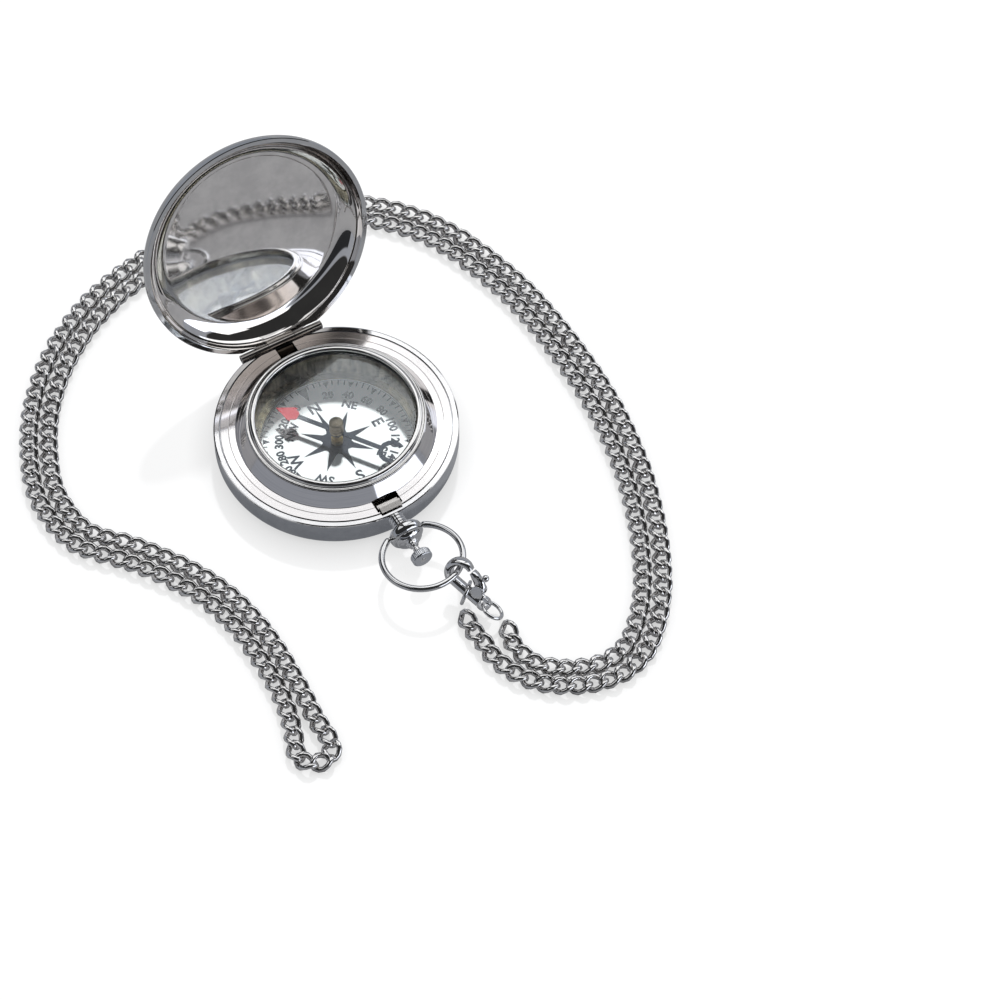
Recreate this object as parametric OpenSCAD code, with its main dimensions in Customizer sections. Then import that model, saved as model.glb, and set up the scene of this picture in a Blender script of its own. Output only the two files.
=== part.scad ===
// Pocket compass with a hinged lid, pendant, bow ring, clasp and doubled curb chain.
// Millimetres. Origin at the centre of the flat base, hinge towards +Y, pendant towards -Y, +Z up.

/* [Case] */
// Outer diameter of the case
case_d = 50; // [46:0.5:56]
// Height of the case rim over the base
case_h = 7.7; // [7.5:0.1:9]
// Radius of the rounded bottom edge
case_edge_r = 3.7; // [2:0.1:4]
// Thickness of the rim at the top
rim_w = 1.25; // [1:0.05:1.6]
// Thickness of the floor
floor_t = 0.9; // [0.6:0.05:1.1]
// Width of the ledge that carries the top ring
ledge_w = 0.55; // [0.4:0.05:0.8]

/* [Top ring] */
// Thickness of the flat top ring
ring_t = 0.8; // [0.6:0.05:1]
// Width from the edge of the case in to the sloping band
flat_w = 4.55; // [4.3:0.05:4.8]
// Width of the sloping band
band_w = 2; // [1.9:0.05:2.1]
// Height of the sloping band
band_h = 2.8; // [2.5:0.05:2.9]

/* [Crystal and bezel] */
// Width of the bezel
bezel_w = 2.1; // [2:0.05:2.3]
// Overlap of the bezel on the crystal
crystal_lap = 0.85; // [0.7:0.05:0.9]
// Thickness of the crystal
crystal_t = 1; // [0.8:0.05:1.05]
// Height of the bezel over the top of the band
bezel_h = 0.98; // [0.8:0.02:1.1]
// Thickness of the gasket under the crystal
gasket_t = 0.26; // [0.2:0.02:0.3]

/* [Dial] */
// Wall thickness of the tube round the dial
tube_t = 0.7; // [0.5:0.05:0.8]
// Thickness of the dial
dial_t = 0.5; // [0.3:0.05:0.6]
// Thickness of the pad under the dial
pad_t = 0.3; // [0.2:0.05:0.4]
// Width of the ring that holds the dial down
dial_ring_w = 0.7; // [0.5:0.05:0.9]
// Thickness of the ring that holds the dial down
dial_ring_t = 0.4; // [0.3:0.05:0.5]

/* [Needle] */
// Clearance between an end of the needle and the tube round the dial
needle_gap = 2.75; // [2:0.05:4]
// Thickness of the needle
needle_t = 0.25; // [0.2:0.05:0.4]
// Height of the needle over the dial
needle_z = 3.6; // [3.4:0.05:4]
// Angle of the needle from the hinge, as photographed
needle_turn = 36; // [0:1:359]
// Diameter of the brass cap that bears the needle
cap_d = 2.9; // [2.6:0.05:3.4]
// Height of the brass cap
cap_h = 3.8; // [3.6:0.05:3.9]
// Diameter of the steel pivot
pivot_d = 0.84; // [0.7:0.02:1]
// Diameter of the foot of the pivot
pivot_foot_d = 2.4; // [2:0.1:3]
// Height of the foot of the pivot
pivot_foot_h = 1.5; // [1:0.1:2]
// Height of the jewel in the cap
jewel_h = 0.5; // [0.4:0.05:0.7]

/* [Lid] */
// Distance from the edge of the case in to the edge of the lid
lid_inset = 0.35; // [0.2:0.05:0.5]
// Width of the round shoulder of the lid
lid_shoulder_w = 3.15; // [2.8:0.05:3.5]
// Height of the lid
lid_h = 4.9; // [4.8:0.05:5.4]
// Rise of the domed face
lid_dome = 0.45; // [0.2:0.05:0.6]
// Height of the straight lip of the lid
lid_lip_h = 0.8; // [0.6:0.05:1]
// Width of the lip of the lid
lid_lip_w = 1.05; // [0.9:0.05:1.2]
// Width of the round inside corner of the lid
lid_corner_w = 5.2; // [5:0.05:5.6]
// Thickness of the lid in its middle
lid_t = 0.7; // [0.5:0.05:0.75]
// Angle at which the lid stands open
lid_open = 108.3; // [90:0.1:115]

/* [Hinge] */
// Diameter of the hinge tubes
knuckle_d = 1.7; // [1.6:0.02:1.8]
// Length of the whole hinge
hinge_l = 18.6; // [16:0.1:20]
// Length of the middle tube, which belongs to the lid
lid_knuckle_l = 5.9; // [5:0.1:7]
// Diameter of the hinge pin
hinge_pin_d = 0.8; // [0.6:0.02:0.9]
// Distance from the edge of the case in to the hinge axis
hinge_inset = 0.85; // [0.8:0.01:0.95]

/* [Catch and lift arm] */
// Width of the slot for the catch
slot_w = 5.6; // [5:0.1:6]
// Length of the slot for the catch, front to back
slot_l = 2.9; // [2.8:0.05:3.1]
// Width of the catch
catch_w = 4.6; // [4:0.1:4.8]
// Thickness of the catch and of the lift arm
arm_t = 0.4; // [0.3:0.02:0.5]
// Width of the lift arm
lift_w = 3.4; // [3:0.1:3.8]
// Diameter of the pivot pin of the lift arm
arm_pin_d = 0.8; // [0.7:0.02:0.9]
// Diameter of the tube of the lift arm
arm_tube_d = 1.5; // [1.4:0.02:1.6]
// Length of the plates under the catch and the lift arm
plate_w = 12; // [11.6:0.1:12.4]
// Width of the plates
plate_l = 2; // [1.8:0.05:2.1]
// Thickness of the plates
plate_t = 0.4; // [0.35:0.01:0.45]
// Thickness of the wire of the small springs
fine_wire_d = 0.3; // [0.24:0.02:0.36]

/* [Pendant and crown] */
// Height of the pendant axis over the base
pendant_z = 6.6; // [6.5:0.02:6.65]
// Diameter of the ribbed neck
neck_d = 2.2; // [2:0.05:2.3]
// Length of the neck outside the case
neck_l = 2.6; // [2:0.1:3]
// Diameter of the turned bead
bead_d = 7.2; // [7:0.1:8]
// Length of the turned bead
bead_l = 5.2; // [5:0.1:6]
// Diameter of the stem of the crown
stem_d = 0.9; // [0.8:0.02:0.9]
// Diameter of the crown
crown_d = 4.6; // [4:0.1:5]
// Thickness of the crown
crown_t = 1.4; // [1.2:0.05:1.8]
// Travel of the crown when it is pressed
crown_travel = 0.85; // [0.7:0.05:0.9]

/* [Bow] */
// Diameter of the bow on the middle of its wire
bow_d = 16.2; // [16:0.1:17]
// Thickness of the wire of the bow
bow_wire_d = 1.3; // [1.1:0.05:1.4]
// Angle by which the bow stands above level, held up by the clasp
bow_tilt = 5; // [2:0.5:8]

/* [Clasp] */
// Distance from the bow to the eye of the clasp
clasp_l = 8.3; // [8:0.1:8.6]
// Width of the clasp at the hook
clasp_w = 6.2; // [6:0.1:6.4]
// Thickness of the clasp
clasp_t = 2.4; // [2.2:0.05:2.6]
// Thickness of the eye of the clasp
clasp_eye_t = 1.3; // [1.1:0.05:1.4]
// Diameter of the eye of the clasp
clasp_eye_d = 3.2; // [3.1:0.05:3.4]
// Diameter of the hole in the eye
clasp_hole_d = 1.7; // [1.6:0.05:1.8]
// Diameter of the ball on the lever
clasp_ball_d = 1.5; // [1.3:0.05:1.8]
// Diameter of the rivet of the lever
clasp_rivet_d = 0.6; // [0.5:0.02:0.7]
// Thickness of the wire of the two rings
loop_wire_d = 0.75; // [0.7:0.01:0.8]
// Diameter of the ring on the eye, on the middle of its wire
clasp_loop_d = 4.4; // [4.3:0.05:4.6]
// Diameter of the ring in the hook, on the middle of its wire
end_loop_d = 4.6; // [4.5:0.05:4.8]

/* [Chain] */
// Thickness of the wire of the chain
chain_wire_d = 0.7; // [0.6:0.01:0.72]
// Length of a link
link_l = 5.2; // [5.15:0.01:5.3]
// Width of a link
link_w = 4.2; // [3.8:0.05:4.2]
// Distance from one link to the next
link_pitch = 3.2; // [3.15:0.01:3.2]
// Angle by which a link leans to either side
link_lean = 34; // [33:1:37]

/* [Hidden] */
$fn = 96;
// Clearance of parts that touch
fit = 0.05;
// Clearance of parts that run past each other
run = 0.15;
// Overrun of cuts
over = 1;

// Case
case_r = case_d / 2;
band_foot_d = case_d - 2 * flat_w;
band_top_d = band_foot_d - 2 * band_w;
view_d = band_top_d - 2 * bezel_w;
crystal_d = view_d + 2 * crystal_lap;
rim_r = case_r - rim_w;
ledge_r = rim_r - ledge_w;
ledge_z = case_h - ring_t - fit;
case_arc_n = 8;

// Top ring, crystal and bezel, from the top down
ring_r = rim_r - run;
band_top_z = case_h + band_h;
ring_bore_r = crystal_d / 2 + run;
band_wall = 0.95;
crystal_top_z = band_top_z + run;
crystal_z = crystal_top_z - crystal_t;
gasket_z = crystal_z - gasket_t - fit;
tube_r = ring_bore_r - fit * 2;
tube_bore_r = tube_r - tube_t;
tube_z = floor_t + fit;
tube_top_z = gasket_z - fit;
// Outline of the bezel: shares of its width from the opening out, and of its height
bezel_shares = [[0, 0.2], [0.46, 0.2], [0.46, 0.02], [1, 0.02], [1, 0.2], [0.88, 0.42], [0.74, 0.3],
  [0.64, 0.34], [0.54, 0.8], [0.34, 1], [0.12, 0.94], [0, 0.7]];

// Dial
dial_z = floor_t + fit + pad_t + fit;
dial_top_z = dial_z + dial_t;
dial_r = tube_bore_r - fit;

// Needle: shares of half its length along it, and across it
bar_half_share = 0.034;
head_shares = [[0.62, 0.034], [0.66, 0.075], [0.72, 0.1], [0.7, 0.13], [0.76, 0.12], [1, 0]];
tail_in_share = 0.7;
tail_thick_share = 0.07;
tail_r_share = 0.2;
tail_n = 10;
needle_r = tube_bore_r - needle_gap;
needle_bottom_z = dial_top_z + needle_z;
cap_bottom_z = needle_bottom_z - 2 * needle_t;
cap_top_z = cap_bottom_z + cap_h;
cap_bore_r = pivot_d / 2 + run / 2;
cap_roof = 0.5;
jewel_top_z = cap_top_z - cap_roof;
pivot_top_z = jewel_top_z - jewel_h - fit;
pivot_tip_l = 1;

// Lid, measured closed, and its turn about the hinge
hinge_y = case_r - hinge_inset;
hinge_z = case_h - fit;
lip_z = case_h + 2 * fit;
lid_r = case_r - lid_inset;
lid_face_d = 2 * (lid_r - lid_shoulder_w);
lid_flat_d = 2 * (lid_r - lid_lip_w - lid_corner_w);
lid_arc_n = 10;
lid_inner_h = lid_h - lid_t;
lid_step = 0.16;
hinge_gap = 0.35;
lid_cut_y = hinge_y - knuckle_d / 2 - hinge_gap;
lid_cut_h = knuckle_d / 2 + hinge_gap;
seat_z = hinge_z - knuckle_d / 2 - fit;
tongue_t = 0.7;
hinge_bore_r = hinge_pin_d / 2 + fit;
foot_w = 0.9;

// Catch at the front, which slides on a plate, and lift arm at the back, which turns on a pin
slot_out_y = -(ring_r - 0.7 * ledge_w - fit * 2);
catch_y = slot_out_y + 2 * run + arm_t / 2;
plate_r = tube_r + 2 * fit + run;
plate_top_z = tube_z + plate_t;
foot_in_y = -(tube_r + run + crown_travel);
foot_out_y = foot_in_y - 2.3;
foot_z = plate_top_z + fit;
catch_nose = 1.15;
catch_nose_t = 0.4;
catch_head_l = 1.4;
catch_head_z = case_h - ring_t - fit;
catch_head_h = 0.6;
catch_top_z = case_h + 0.75;
catch_bend_z = 4.6;
screw_d = 0.8;
screw_head_d = 1.8;
screw_head_h = 0.4;
screw_in = 0.55;
screw_x = plate_w / 2 - screw_head_d / 2 - run;
front_screw_y = foot_in_y - screw_d / 2 - 2 * run;
arm_y = plate_r + plate_l - arm_tube_d / 2;
arm_pin_z = plate_top_z + arm_tube_d / 2 + run;
back_screw_y = plate_r + plate_l / 2;
lift_y = hinge_y - knuckle_d / 2 - 1.7;
lift_top_z = case_h - 2 * fit;
lift_reach = 0.9;
lift_bend_z = 4.6;
notch_w = lift_w + 4 * run;
notch_y = lift_y - arm_t - 3 * run;
arm_bore_r = arm_pin_d / 2 + fit;
ear_t = 0.6;
ears_w = lift_w + 2 * ear_t + 2.8;
spring_turns = 3;
spring_sides = 6;
spring_steps = 12;
catch_spring_d = 1.5;
catch_spring_z = 5.6;
catch_spring_turns = 5;

// Pendant and crown
spigot_d = 1.5;
spigot_l = rim_w - 2 * fit;
neck_y = -case_r;
rib_n = 3;
rib_h = 0.16;
rib_pitch = neck_l / (rib_n + 0.5);
bead_y = neck_y - neck_l;
bead_r = bead_d / 2;
// Outline of the bead: shares of its length from the case out, and of its radius
bead_shares = [[0, 0.42], [0.1, 0.66], [0.22, 0.9], [0.34, 1], [0.52, 0.97], [0.62, 0.85], [0.64, 0.74],
  [0.68, 0.74], [0.72, 0.7], [0.84, 0.56], [0.88, 0.36], [1, 0.3]];
bead_equator_share = 0.34;
bow_y = bead_y - bead_equator_share * bead_l;
stem_bore_r = stem_d / 2 + fit;
crown_y = bead_y - bead_l - crown_travel - 1.8;
collar_d = stem_d + 1;
collar_l = 0.7;
spring_room_d = collar_d + 2 * run;
spring_room_l = 3;
spring_room_share = 0.78;
spring_room_y = bead_y - spring_room_share * bead_l;
stem_end_y = catch_y - arm_t / 2 - fit;
crown_round = 0.25;

// Bow: the ends turn in to the middle of the bead
bow_r = bow_d / 2;
bow_wire_r = bow_wire_d / 2;
bow_end_a = 30;
bow_off = bow_r * cos(bow_end_a);
bow_pin_r = 0.5;
bow_pin_in = bead_r * 0.62;

// Clasp: x from the bow to the eye, z to the side of the lever, y across
clasp_at_a = -56;
clasp_az = -74;
clasp_tilt = 36;
clasp_roll = -34;
hook_x = 0.65;
hook_r = clasp_w / 2;
hook_wall = 1.15;
window_r = hook_r - hook_wall;
window_end_r = 0.8;
window_end_x = 5;
gate_z = 0.75;
gate_from_x = 1.3;
gate_slant = 0.95;
lever_x = 5.6;
lever_z = 0.95;
lever_r = 0.85;
lever_t = clasp_t * 0.7;
ball_x = 4.4;
ball_z = 3.8;
ball_neck_d = 0.7;
clasp_spring_d = 0.5;
eye_from_x = clasp_l - 1.5;
outline_n = 14;
loop_tilt = 16;
end_loop_at = [4.6, 0.15, -1.9];
end_loop_turn = 14;
end_loop_lean = 62;

// Chain: the middle of the doubled strands on the table as [x, y, half of the spacing], from the pendant's foot
chain_route = [
  [5.2, -32, 2.8], [5, -36, 2.4], [7.2, -41.8, 2], [12.5, -46.6, 2], [20.5, -49.4, 2], [27.5, -48, 2],
  [33, -43.5, 2], [37.5, -38, 2], [41, -32, 2], [45.5, -22, 2], [49.5, -9, 2], [52, 6, 2],
  [52.5, 21, 2], [51.5, 37, 2], [49, 49, 2], [45, 60.5, 2], [40, 68.5, 2], [33, 75.5, 2],
  [22, 82.5, 2], [8, 86.5, 2], [-6, 86.5, 2], [-18, 84, 2], [-28, 80.5, 2], [-39, 73.5, 2],
  [-48, 64, 2], [-54, 53.5, 2], [-57.5, 42, 2], [-56, 30, 2], [-49, 21.5, 2], [-42.5, 12, 2],
  [-38, 2, 2], [-36, -9.5, 2], [-36, -22, 2], [-37, -30, 2.4], [-38, -36.5, 3.6]];
// First points of the right strand from the clasp, and of the left strand from the end ring
right_start = [[8.1, -29.45]];
left_start = [[2.5, -23], [2, -28]];
route_steps = 8;
turn_steps = 10;
link_z = link_w / 2 * sin(link_lean) + chain_wire_d / 2 + fit;

// A rounded outline of two circles joined by their tangents, as points
function tangent_hull(x1, r1, x2, r2, n) =
  let (a = acos((r1 - r2) / (x2 - x1)))
  concat([for (i = [0 : n]) let (t = a + (360 - 2 * a) * i / n) [x1 + r1 * cos(t), r1 * sin(t)]],
    [for (i = [0 : n]) let (t = -a + 2 * a * i / n) [x2 + r2 * cos(t), r2 * sin(t)]]);

// A wire of constant thickness swept along points, closed at both ends
function unit(v) = v / norm(v);
module wire(points, d, sides) {
  n = len(points);
  dirs = [for (i = [0 : n - 1]) unit(points[min(i + 1, n - 1)] - points[max(i - 1, 0)])];
  rings = [for (i = [0 : n - 1])
    let (side = unit(cross(dirs[i], abs(dirs[i].x) > 0.7 ? [0, 1, 0] : [1, 0, 0])), up = cross(dirs[i], side))
    for (k = [0 : sides - 1]) points[i] + d / 2 * (side * cos(360 * k / sides) + up * sin(360 * k / sides))];
  faces = concat([[for (k = [0 : sides - 1]) k]], [[for (k = [sides - 1 : -1 : 0]) (n - 1) * sides + k]],
    [for (i = [0 : n - 2]) for (k = [0 : sides - 1]) let (m = (k + 1) % sides)
      for (f = [[i * sides + k, (i + 1) * sides + k, i * sides + m],
          [i * sides + m, (i + 1) * sides + k, (i + 1) * sides + m]]) f]);
  polyhedron(rings, faces);
}
// A small coil spring about the z axis
module coil(d, length, turns) {
  count = turns * spring_steps;
  wire([for (i = [0 : count]) [d / 2 * cos(360 * i / spring_steps), d / 2 * sin(360 * i / spring_steps),
    length * i / count]], fine_wire_d, spring_sides);
}
// A tube along x, centred on the origin
module tube_x(d, bore_r, length) {
  rotate([0, 90, 0]) difference() {
    cylinder(d = d, h = length, center = true);
    cylinder(r = bore_r, h = length + over, center = true);
  }
}

module case_back() {
  color("gainsboro") difference() {
    rotate_extrude() polygon(concat([[0, 0]],
      [for (i = [0 : case_arc_n]) let (a = 90 * i / case_arc_n)
        [case_r - case_edge_r + case_edge_r * sin(a), case_edge_r - case_edge_r * cos(a)]],
      [[case_r, case_h], [rim_r, case_h], [rim_r, ledge_z], [ledge_r, ledge_z]],
      [for (i = [case_arc_n : -1 : 0]) let (a = 90 * i / case_arc_n, r = case_edge_r - floor_t)
        [ledge_r - r + r * sin(a), case_edge_r - r * cos(a)]],
      [[0, floor_t]]));
    hinge_cut();
    translate([0, -ledge_r + over, pendant_z]) rotate([90, 0, 0]) cylinder(d = spigot_d + 2 * fit, h = rim_w + 2 * over + ledge_w);
    for (s = [-1, 1]) screw_places(s) translate([0, 0, floor_t - screw_in]) cylinder(d = screw_d, h = screw_in + over);
  }
}
// Room for the hinge tubes in the rim and in the top ring
module hinge_cut() {
  translate([-hinge_l / 2 - run, lid_cut_y, seat_z]) cube([hinge_l + 2 * run, case_r, case_h]);
}
// The screws of the plate at the front, s = -1, or at the back, s = 1
module screw_places(s) {
  for (x = [-1, 1]) translate([x * screw_x, s < 0 ? front_screw_y : back_screw_y, 0]) children();
}

module top_ring() {
  wall_foot_r = band_foot_d / 2 - band_wall;
  wall_top_r = band_top_d / 2 - band_wall;
  color("silver") difference() {
    rotate_extrude() polygon([[ring_r, case_h - ring_t], [ring_r, case_h], [band_foot_d / 2, case_h],
      [band_top_d / 2, band_top_z], [ring_bore_r, band_top_z], [ring_bore_r, crystal_z],
      [wall_top_r, crystal_z], [wall_foot_r, case_h - ring_t]]);
    hinge_cut();
    translate([-notch_w / 2, notch_y, case_h - ring_t - over]) cube([notch_w, case_r, ring_t + 2 * over]);
    translate([-slot_w / 2, slot_out_y, case_h - ring_t - over]) cube([slot_w, slot_l, ring_t + 2 * over]);
    along_pendant(slot_out_y + over) cylinder(d = spigot_d, h = case_r);
  }
}
module bezel() {
  color("white") rotate_extrude() polygon([for (p = bezel_shares)
    [view_d / 2 + p.x * bezel_w, band_top_z + p.y * bezel_h]]);
}
module crystal() {
  color("lightcyan", 0.35) translate([0, 0, crystal_z]) cylinder(d = crystal_d, h = crystal_t);
}
module crystal_gasket() {
  color("dimgray") translate([0, 0, gasket_z]) difference() {
    cylinder(d = crystal_d, h = gasket_t);
    translate([0, 0, -over]) cylinder(r = tube_bore_r, h = gasket_t + 2 * over);
  }
}
module dial_tube() {
  color("silver") translate([0, 0, tube_z]) difference() {
    cylinder(r = tube_r, h = tube_top_z - tube_z);
    translate([0, 0, -over]) cylinder(r = tube_bore_r, h = tube_top_z + over);
  }
}
module dial_pad() {
  color("tan") translate([0, 0, floor_t + fit]) difference() {
    cylinder(r = dial_r, h = pad_t);
    translate([0, 0, -over]) cylinder(d = pivot_d + 2 * fit, h = pad_t + 2 * over);
  }
}
module dial() {
  color("white") translate([0, 0, dial_z]) difference() {
    cylinder(r = dial_r, h = dial_t);
    translate([0, 0, -over]) cylinder(d = pivot_d + 2 * fit, h = dial_t + 2 * over);
  }
}
module dial_ring() {
  color("silver") translate([0, 0, dial_top_z + fit]) difference() {
    cylinder(r = dial_r, h = dial_ring_t);
    translate([0, 0, -over]) cylinder(r = dial_r - dial_ring_w, h = dial_ring_t + 2 * over);
  }
}
module pivot() {
  color("goldenrod") rotate_extrude() polygon([[0, dial_z - fit], [pivot_d / 2, dial_z - fit],
    [pivot_d / 2, dial_top_z + fit], [pivot_foot_d / 2, dial_top_z + fit],
    [pivot_foot_d / 2, dial_top_z + pivot_foot_h], [pivot_d / 2, dial_top_z + pivot_foot_h],
    [pivot_d / 2, pivot_top_z - pivot_tip_l], [0, pivot_top_z]]);
}

module on_needle() {
  rotate([0, 0, needle_turn]) children();
}
module needle() {
  bar = bar_half_share * needle_r;
  tail_out = [0, -(tail_in_share + tail_r_share) * needle_r];
  ring_in = (tail_r_share - tail_thick_share) * needle_r;
  ring_out = tail_r_share * needle_r;
  color("crimson") on_needle() translate([0, 0, needle_bottom_z]) difference() {
    union() {
      linear_extrude(needle_t) polygon(concat(
        [[-bar, -(tail_in_share + tail_thick_share / 2) * needle_r], [bar, -(tail_in_share + tail_thick_share / 2) * needle_r]],
        [for (p = head_shares) [p.y, p.x] * needle_r],
        [for (i = [len(head_shares) - 2 : -1 : 0]) [-head_shares[i].y, head_shares[i].x] * needle_r]));
      linear_extrude(needle_t) polygon(concat(
        [for (i = [0 : tail_n]) let (a = -35 + 250 * i / tail_n) tail_out + ring_out * [cos(a), sin(a)]],
        [for (i = [tail_n : -1 : 0]) let (a = -35 + 250 * i / tail_n) tail_out + ring_in * [cos(a), sin(a)]]));
      cylinder(d = cap_d, h = needle_t);
    }
    translate([0, 0, -over]) cylinder(d = cap_d - 2 * run, h = needle_t + 2 * over);
  }
}
module needle_cap() {
  color("darkgoldenrod") on_needle() difference() {
    rotate_extrude() polygon([[cap_bore_r, cap_bottom_z], [cap_d / 2 - run, cap_bottom_z], [cap_d / 2 - run, needle_bottom_z + needle_t],
      [cap_d / 2, needle_bottom_z + needle_t], [cap_d / 2, cap_top_z - run], [cap_d / 2 - run, cap_top_z],
      [0, cap_top_z], [0, jewel_top_z], [cap_bore_r, jewel_top_z]]);
  }
}
module needle_jewel() {
  color("firebrick") on_needle() translate([0, 0, jewel_top_z - jewel_h])
    cylinder(r = cap_bore_r - fit / 2, h = jewel_h - fit / 2);
}

// Lid shell, closed, with its lip plane at z = 0
function lid_face_z(r) = lid_h - lid_dome * pow(2 * r / lid_face_d, 2);
module lid_shell() {
  shoulder = lid_face_d / 2;
  top = lid_face_z(shoulder) - lid_step;
  lip_in = lid_r - lid_lip_w;
  flat = lid_flat_d / 2;
  rotate_extrude() polygon(concat([[0, lid_inner_h]],
    [for (i = [0 : lid_arc_n]) let (a = 90 * i / lid_arc_n)
      [flat + (lip_in - flat) * sin(a), lid_inner_h * cos(a)]],
    [for (i = [lid_arc_n : -1 : 0]) let (a = 90 * i / lid_arc_n)
      [shoulder + (lid_r - shoulder) * sin(a), lid_lip_h * (i == lid_arc_n ? 0 : 1) + (top - lid_lip_h) * cos(a)]],
    [for (i = [lid_arc_n : -1 : 0]) let (r = (shoulder - lid_step) * i / lid_arc_n) [r, lid_face_z(r)]]));
}
module opened() {
  translate([0, hinge_y, hinge_z]) rotate([-lid_open, 0, 0]) translate([0, -hinge_y, -hinge_z]) children();
}
module lid() {
  color("lightgray") opened() difference() {
    translate([0, 0, lip_z]) lid_shell();
    translate([-hinge_l / 2 - run, lid_cut_y, case_h - over]) cube([hinge_l + 2 * run, case_r, lid_cut_h + over]);
    translate([-catch_w / 2 - run, -(catch_reach_r() + 2 * run), catch_top_z - catch_nose_t - run])
      cube([catch_w + 2 * run, lid_lip_w * 1.6, catch_nose_t + 4 * run]);
  }
}
function catch_reach_r() = -(catch_y - arm_t / 2) + catch_nose;
module lid_knuckle() {
  color("silver") opened() translate([0, hinge_y, hinge_z]) {
    difference() {
      union() {
        rotate([0, 90, 0]) cylinder(d = knuckle_d, h = lid_knuckle_l, center = true);
        translate([-lid_knuckle_l / 2, -knuckle_d / 2, 0]) cube([lid_knuckle_l, tongue_t, lid_cut_h + lip_z - hinge_z - 2 * fit]);
      }
      rotate([0, 90, 0]) cylinder(r = hinge_bore_r, h = lid_knuckle_l + over, center = true);
    }
  }
}
module case_knuckles() {
  length = (hinge_l - lid_knuckle_l) / 2 - run;
  color("silver") for (s = [-1, 1]) translate([s * (hinge_l - length) / 2, hinge_y, hinge_z]) difference() {
    union() {
      rotate([0, 90, 0]) cylinder(d = knuckle_d, h = length, center = true);
      translate([-length / 2, -knuckle_d / 2, -knuckle_d / 2]) cube([length, knuckle_d / 2, knuckle_d / 4]);
    }
    rotate([0, 90, 0]) cylinder(r = hinge_bore_r, h = length + over, center = true);
  }
}
module hinge_pin() {
  color("gray") translate([0, hinge_y, hinge_z]) rotate([0, 90, 0])
    cylinder(d = hinge_pin_d, h = hinge_l - 2 * run, center = true);
}

// The plate under an arm, with holes for its screws
module plate(s) {
  difference() {
    translate([-plate_w / 2, s < 0 ? -plate_r - 2 * run - plate_l : plate_r, tube_z]) cube([plate_w, plate_l, plate_t]);
    screw_places(s) cylinder(d = screw_d + 2 * fit, h = case_h);
  }
}
module lift_bracket() {
  color("silver") difference() {
    union() {
      plate(1);
      for (x = [-1, 1]) translate([x * (ears_w - ear_t) / 2, arm_y, 0]) {
        translate([-ear_t / 2, -arm_tube_d / 2, tube_z]) cube([ear_t, arm_tube_d, arm_pin_z - tube_z]);
        translate([0, 0, arm_pin_z]) rotate([0, 90, 0]) cylinder(d = arm_tube_d, h = ear_t, center = true);
      }
    }
    translate([0, arm_y, arm_pin_z]) rotate([0, 90, 0]) cylinder(r = arm_bore_r, h = ears_w + over, center = true);
  }
}
module lift_pin() {
  color("gray") translate([0, arm_y, arm_pin_z]) rotate([0, 90, 0])
    cylinder(d = arm_pin_d, h = ears_w - fit, center = true);
}
module lift_spring() {
  room = (ears_w - lift_w) / 2 - ear_t - 2 * run;
  color("gray") for (x = [-1, 1]) translate([x * (lift_w / 2 + run + room / 2), arm_y, arm_pin_z]) rotate([0, 90, 0])
    translate([0, 0, (fine_wire_d - room) / 2]) coil(arm_pin_d + fine_wire_d + 4 * fit, room - fine_wire_d, 2);
}
// The lift arm leans out from its pin, then stands up through the notch in the top ring
module lift_arm() {
  color("dimgray") difference() {
    union() {
      translate([0, arm_y, arm_pin_z]) rotate([0, 90, 0]) cylinder(d = arm_tube_d, h = lift_w, center = true);
      translate([-lift_w / 2, 0, 0]) rotate([90, 0, 90]) linear_extrude(lift_w) polygon([
        [arm_y - arm_t / 2, arm_pin_z], [arm_y + arm_t, arm_pin_z], [lift_y + arm_t / 2, lift_bend_z],
        [lift_y + arm_t / 2, lift_top_z - lift_reach], [lift_y + lift_reach, lift_top_z - arm_t / 2],
        [lift_y + lift_reach, lift_top_z], [lift_y + lift_reach / 2, lift_top_z],
        [lift_y - arm_t / 2, lift_top_z - lift_reach * 0.8], [lift_y - arm_t / 2, lift_bend_z]]);
    }
    translate([0, arm_y, arm_pin_z]) rotate([0, 90, 0]) cylinder(r = arm_bore_r, h = lift_w + over, center = true);
  }
}
module catch_plate() {
  color("silver") plate(-1);
}
// The catch slides on its plate; its foot has a slot for each screw
module catch() {
  out = catch_y - arm_t / 2;
  in = catch_y + arm_t / 2;
  color("white") {
    difference() {
      translate([-plate_w / 2, foot_out_y, foot_z]) cube([plate_w, foot_in_y - foot_out_y, arm_t]);
      screw_places(-1) translate([0, 0, foot_z - over]) {
        for (y = [0, -crown_travel]) translate([0, y, 0]) cylinder(d = screw_d + 2 * fit, h = arm_t + 2 * over);
        translate([-screw_d / 2 - fit, -crown_travel, 0]) cube([screw_d + 2 * fit, crown_travel, arm_t + 2 * over]);
      }
    }
    translate([-catch_w / 2, 0, 0]) rotate([90, 0, 90]) linear_extrude(catch_w) polygon([
      [foot_out_y, foot_z], [foot_out_y + 1.5 * arm_t, foot_z], [foot_out_y + 1.5 * arm_t, foot_z + arm_t],
      [in, catch_bend_z], [in, catch_head_z], [out + catch_head_l, catch_head_z],
      [out + catch_head_l, catch_head_z + catch_head_h], [in, catch_head_z + catch_head_h], [in, catch_top_z],
      [out, catch_top_z], [out - catch_nose, catch_top_z - catch_nose_t * 0.7],
      [out - catch_nose, catch_top_z - catch_nose_t], [out, catch_top_z - catch_nose_t], [out, catch_bend_z]]);
  }
}
module catch_spring() {
  color("gray") translate([0, -tube_r - fine_wire_d / 2 - fit, catch_spring_z]) rotate([90, 0, 0])
    coil(catch_spring_d, -(tube_r + catch_y) - crown_travel - arm_t - fine_wire_d, catch_spring_turns);
}
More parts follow.
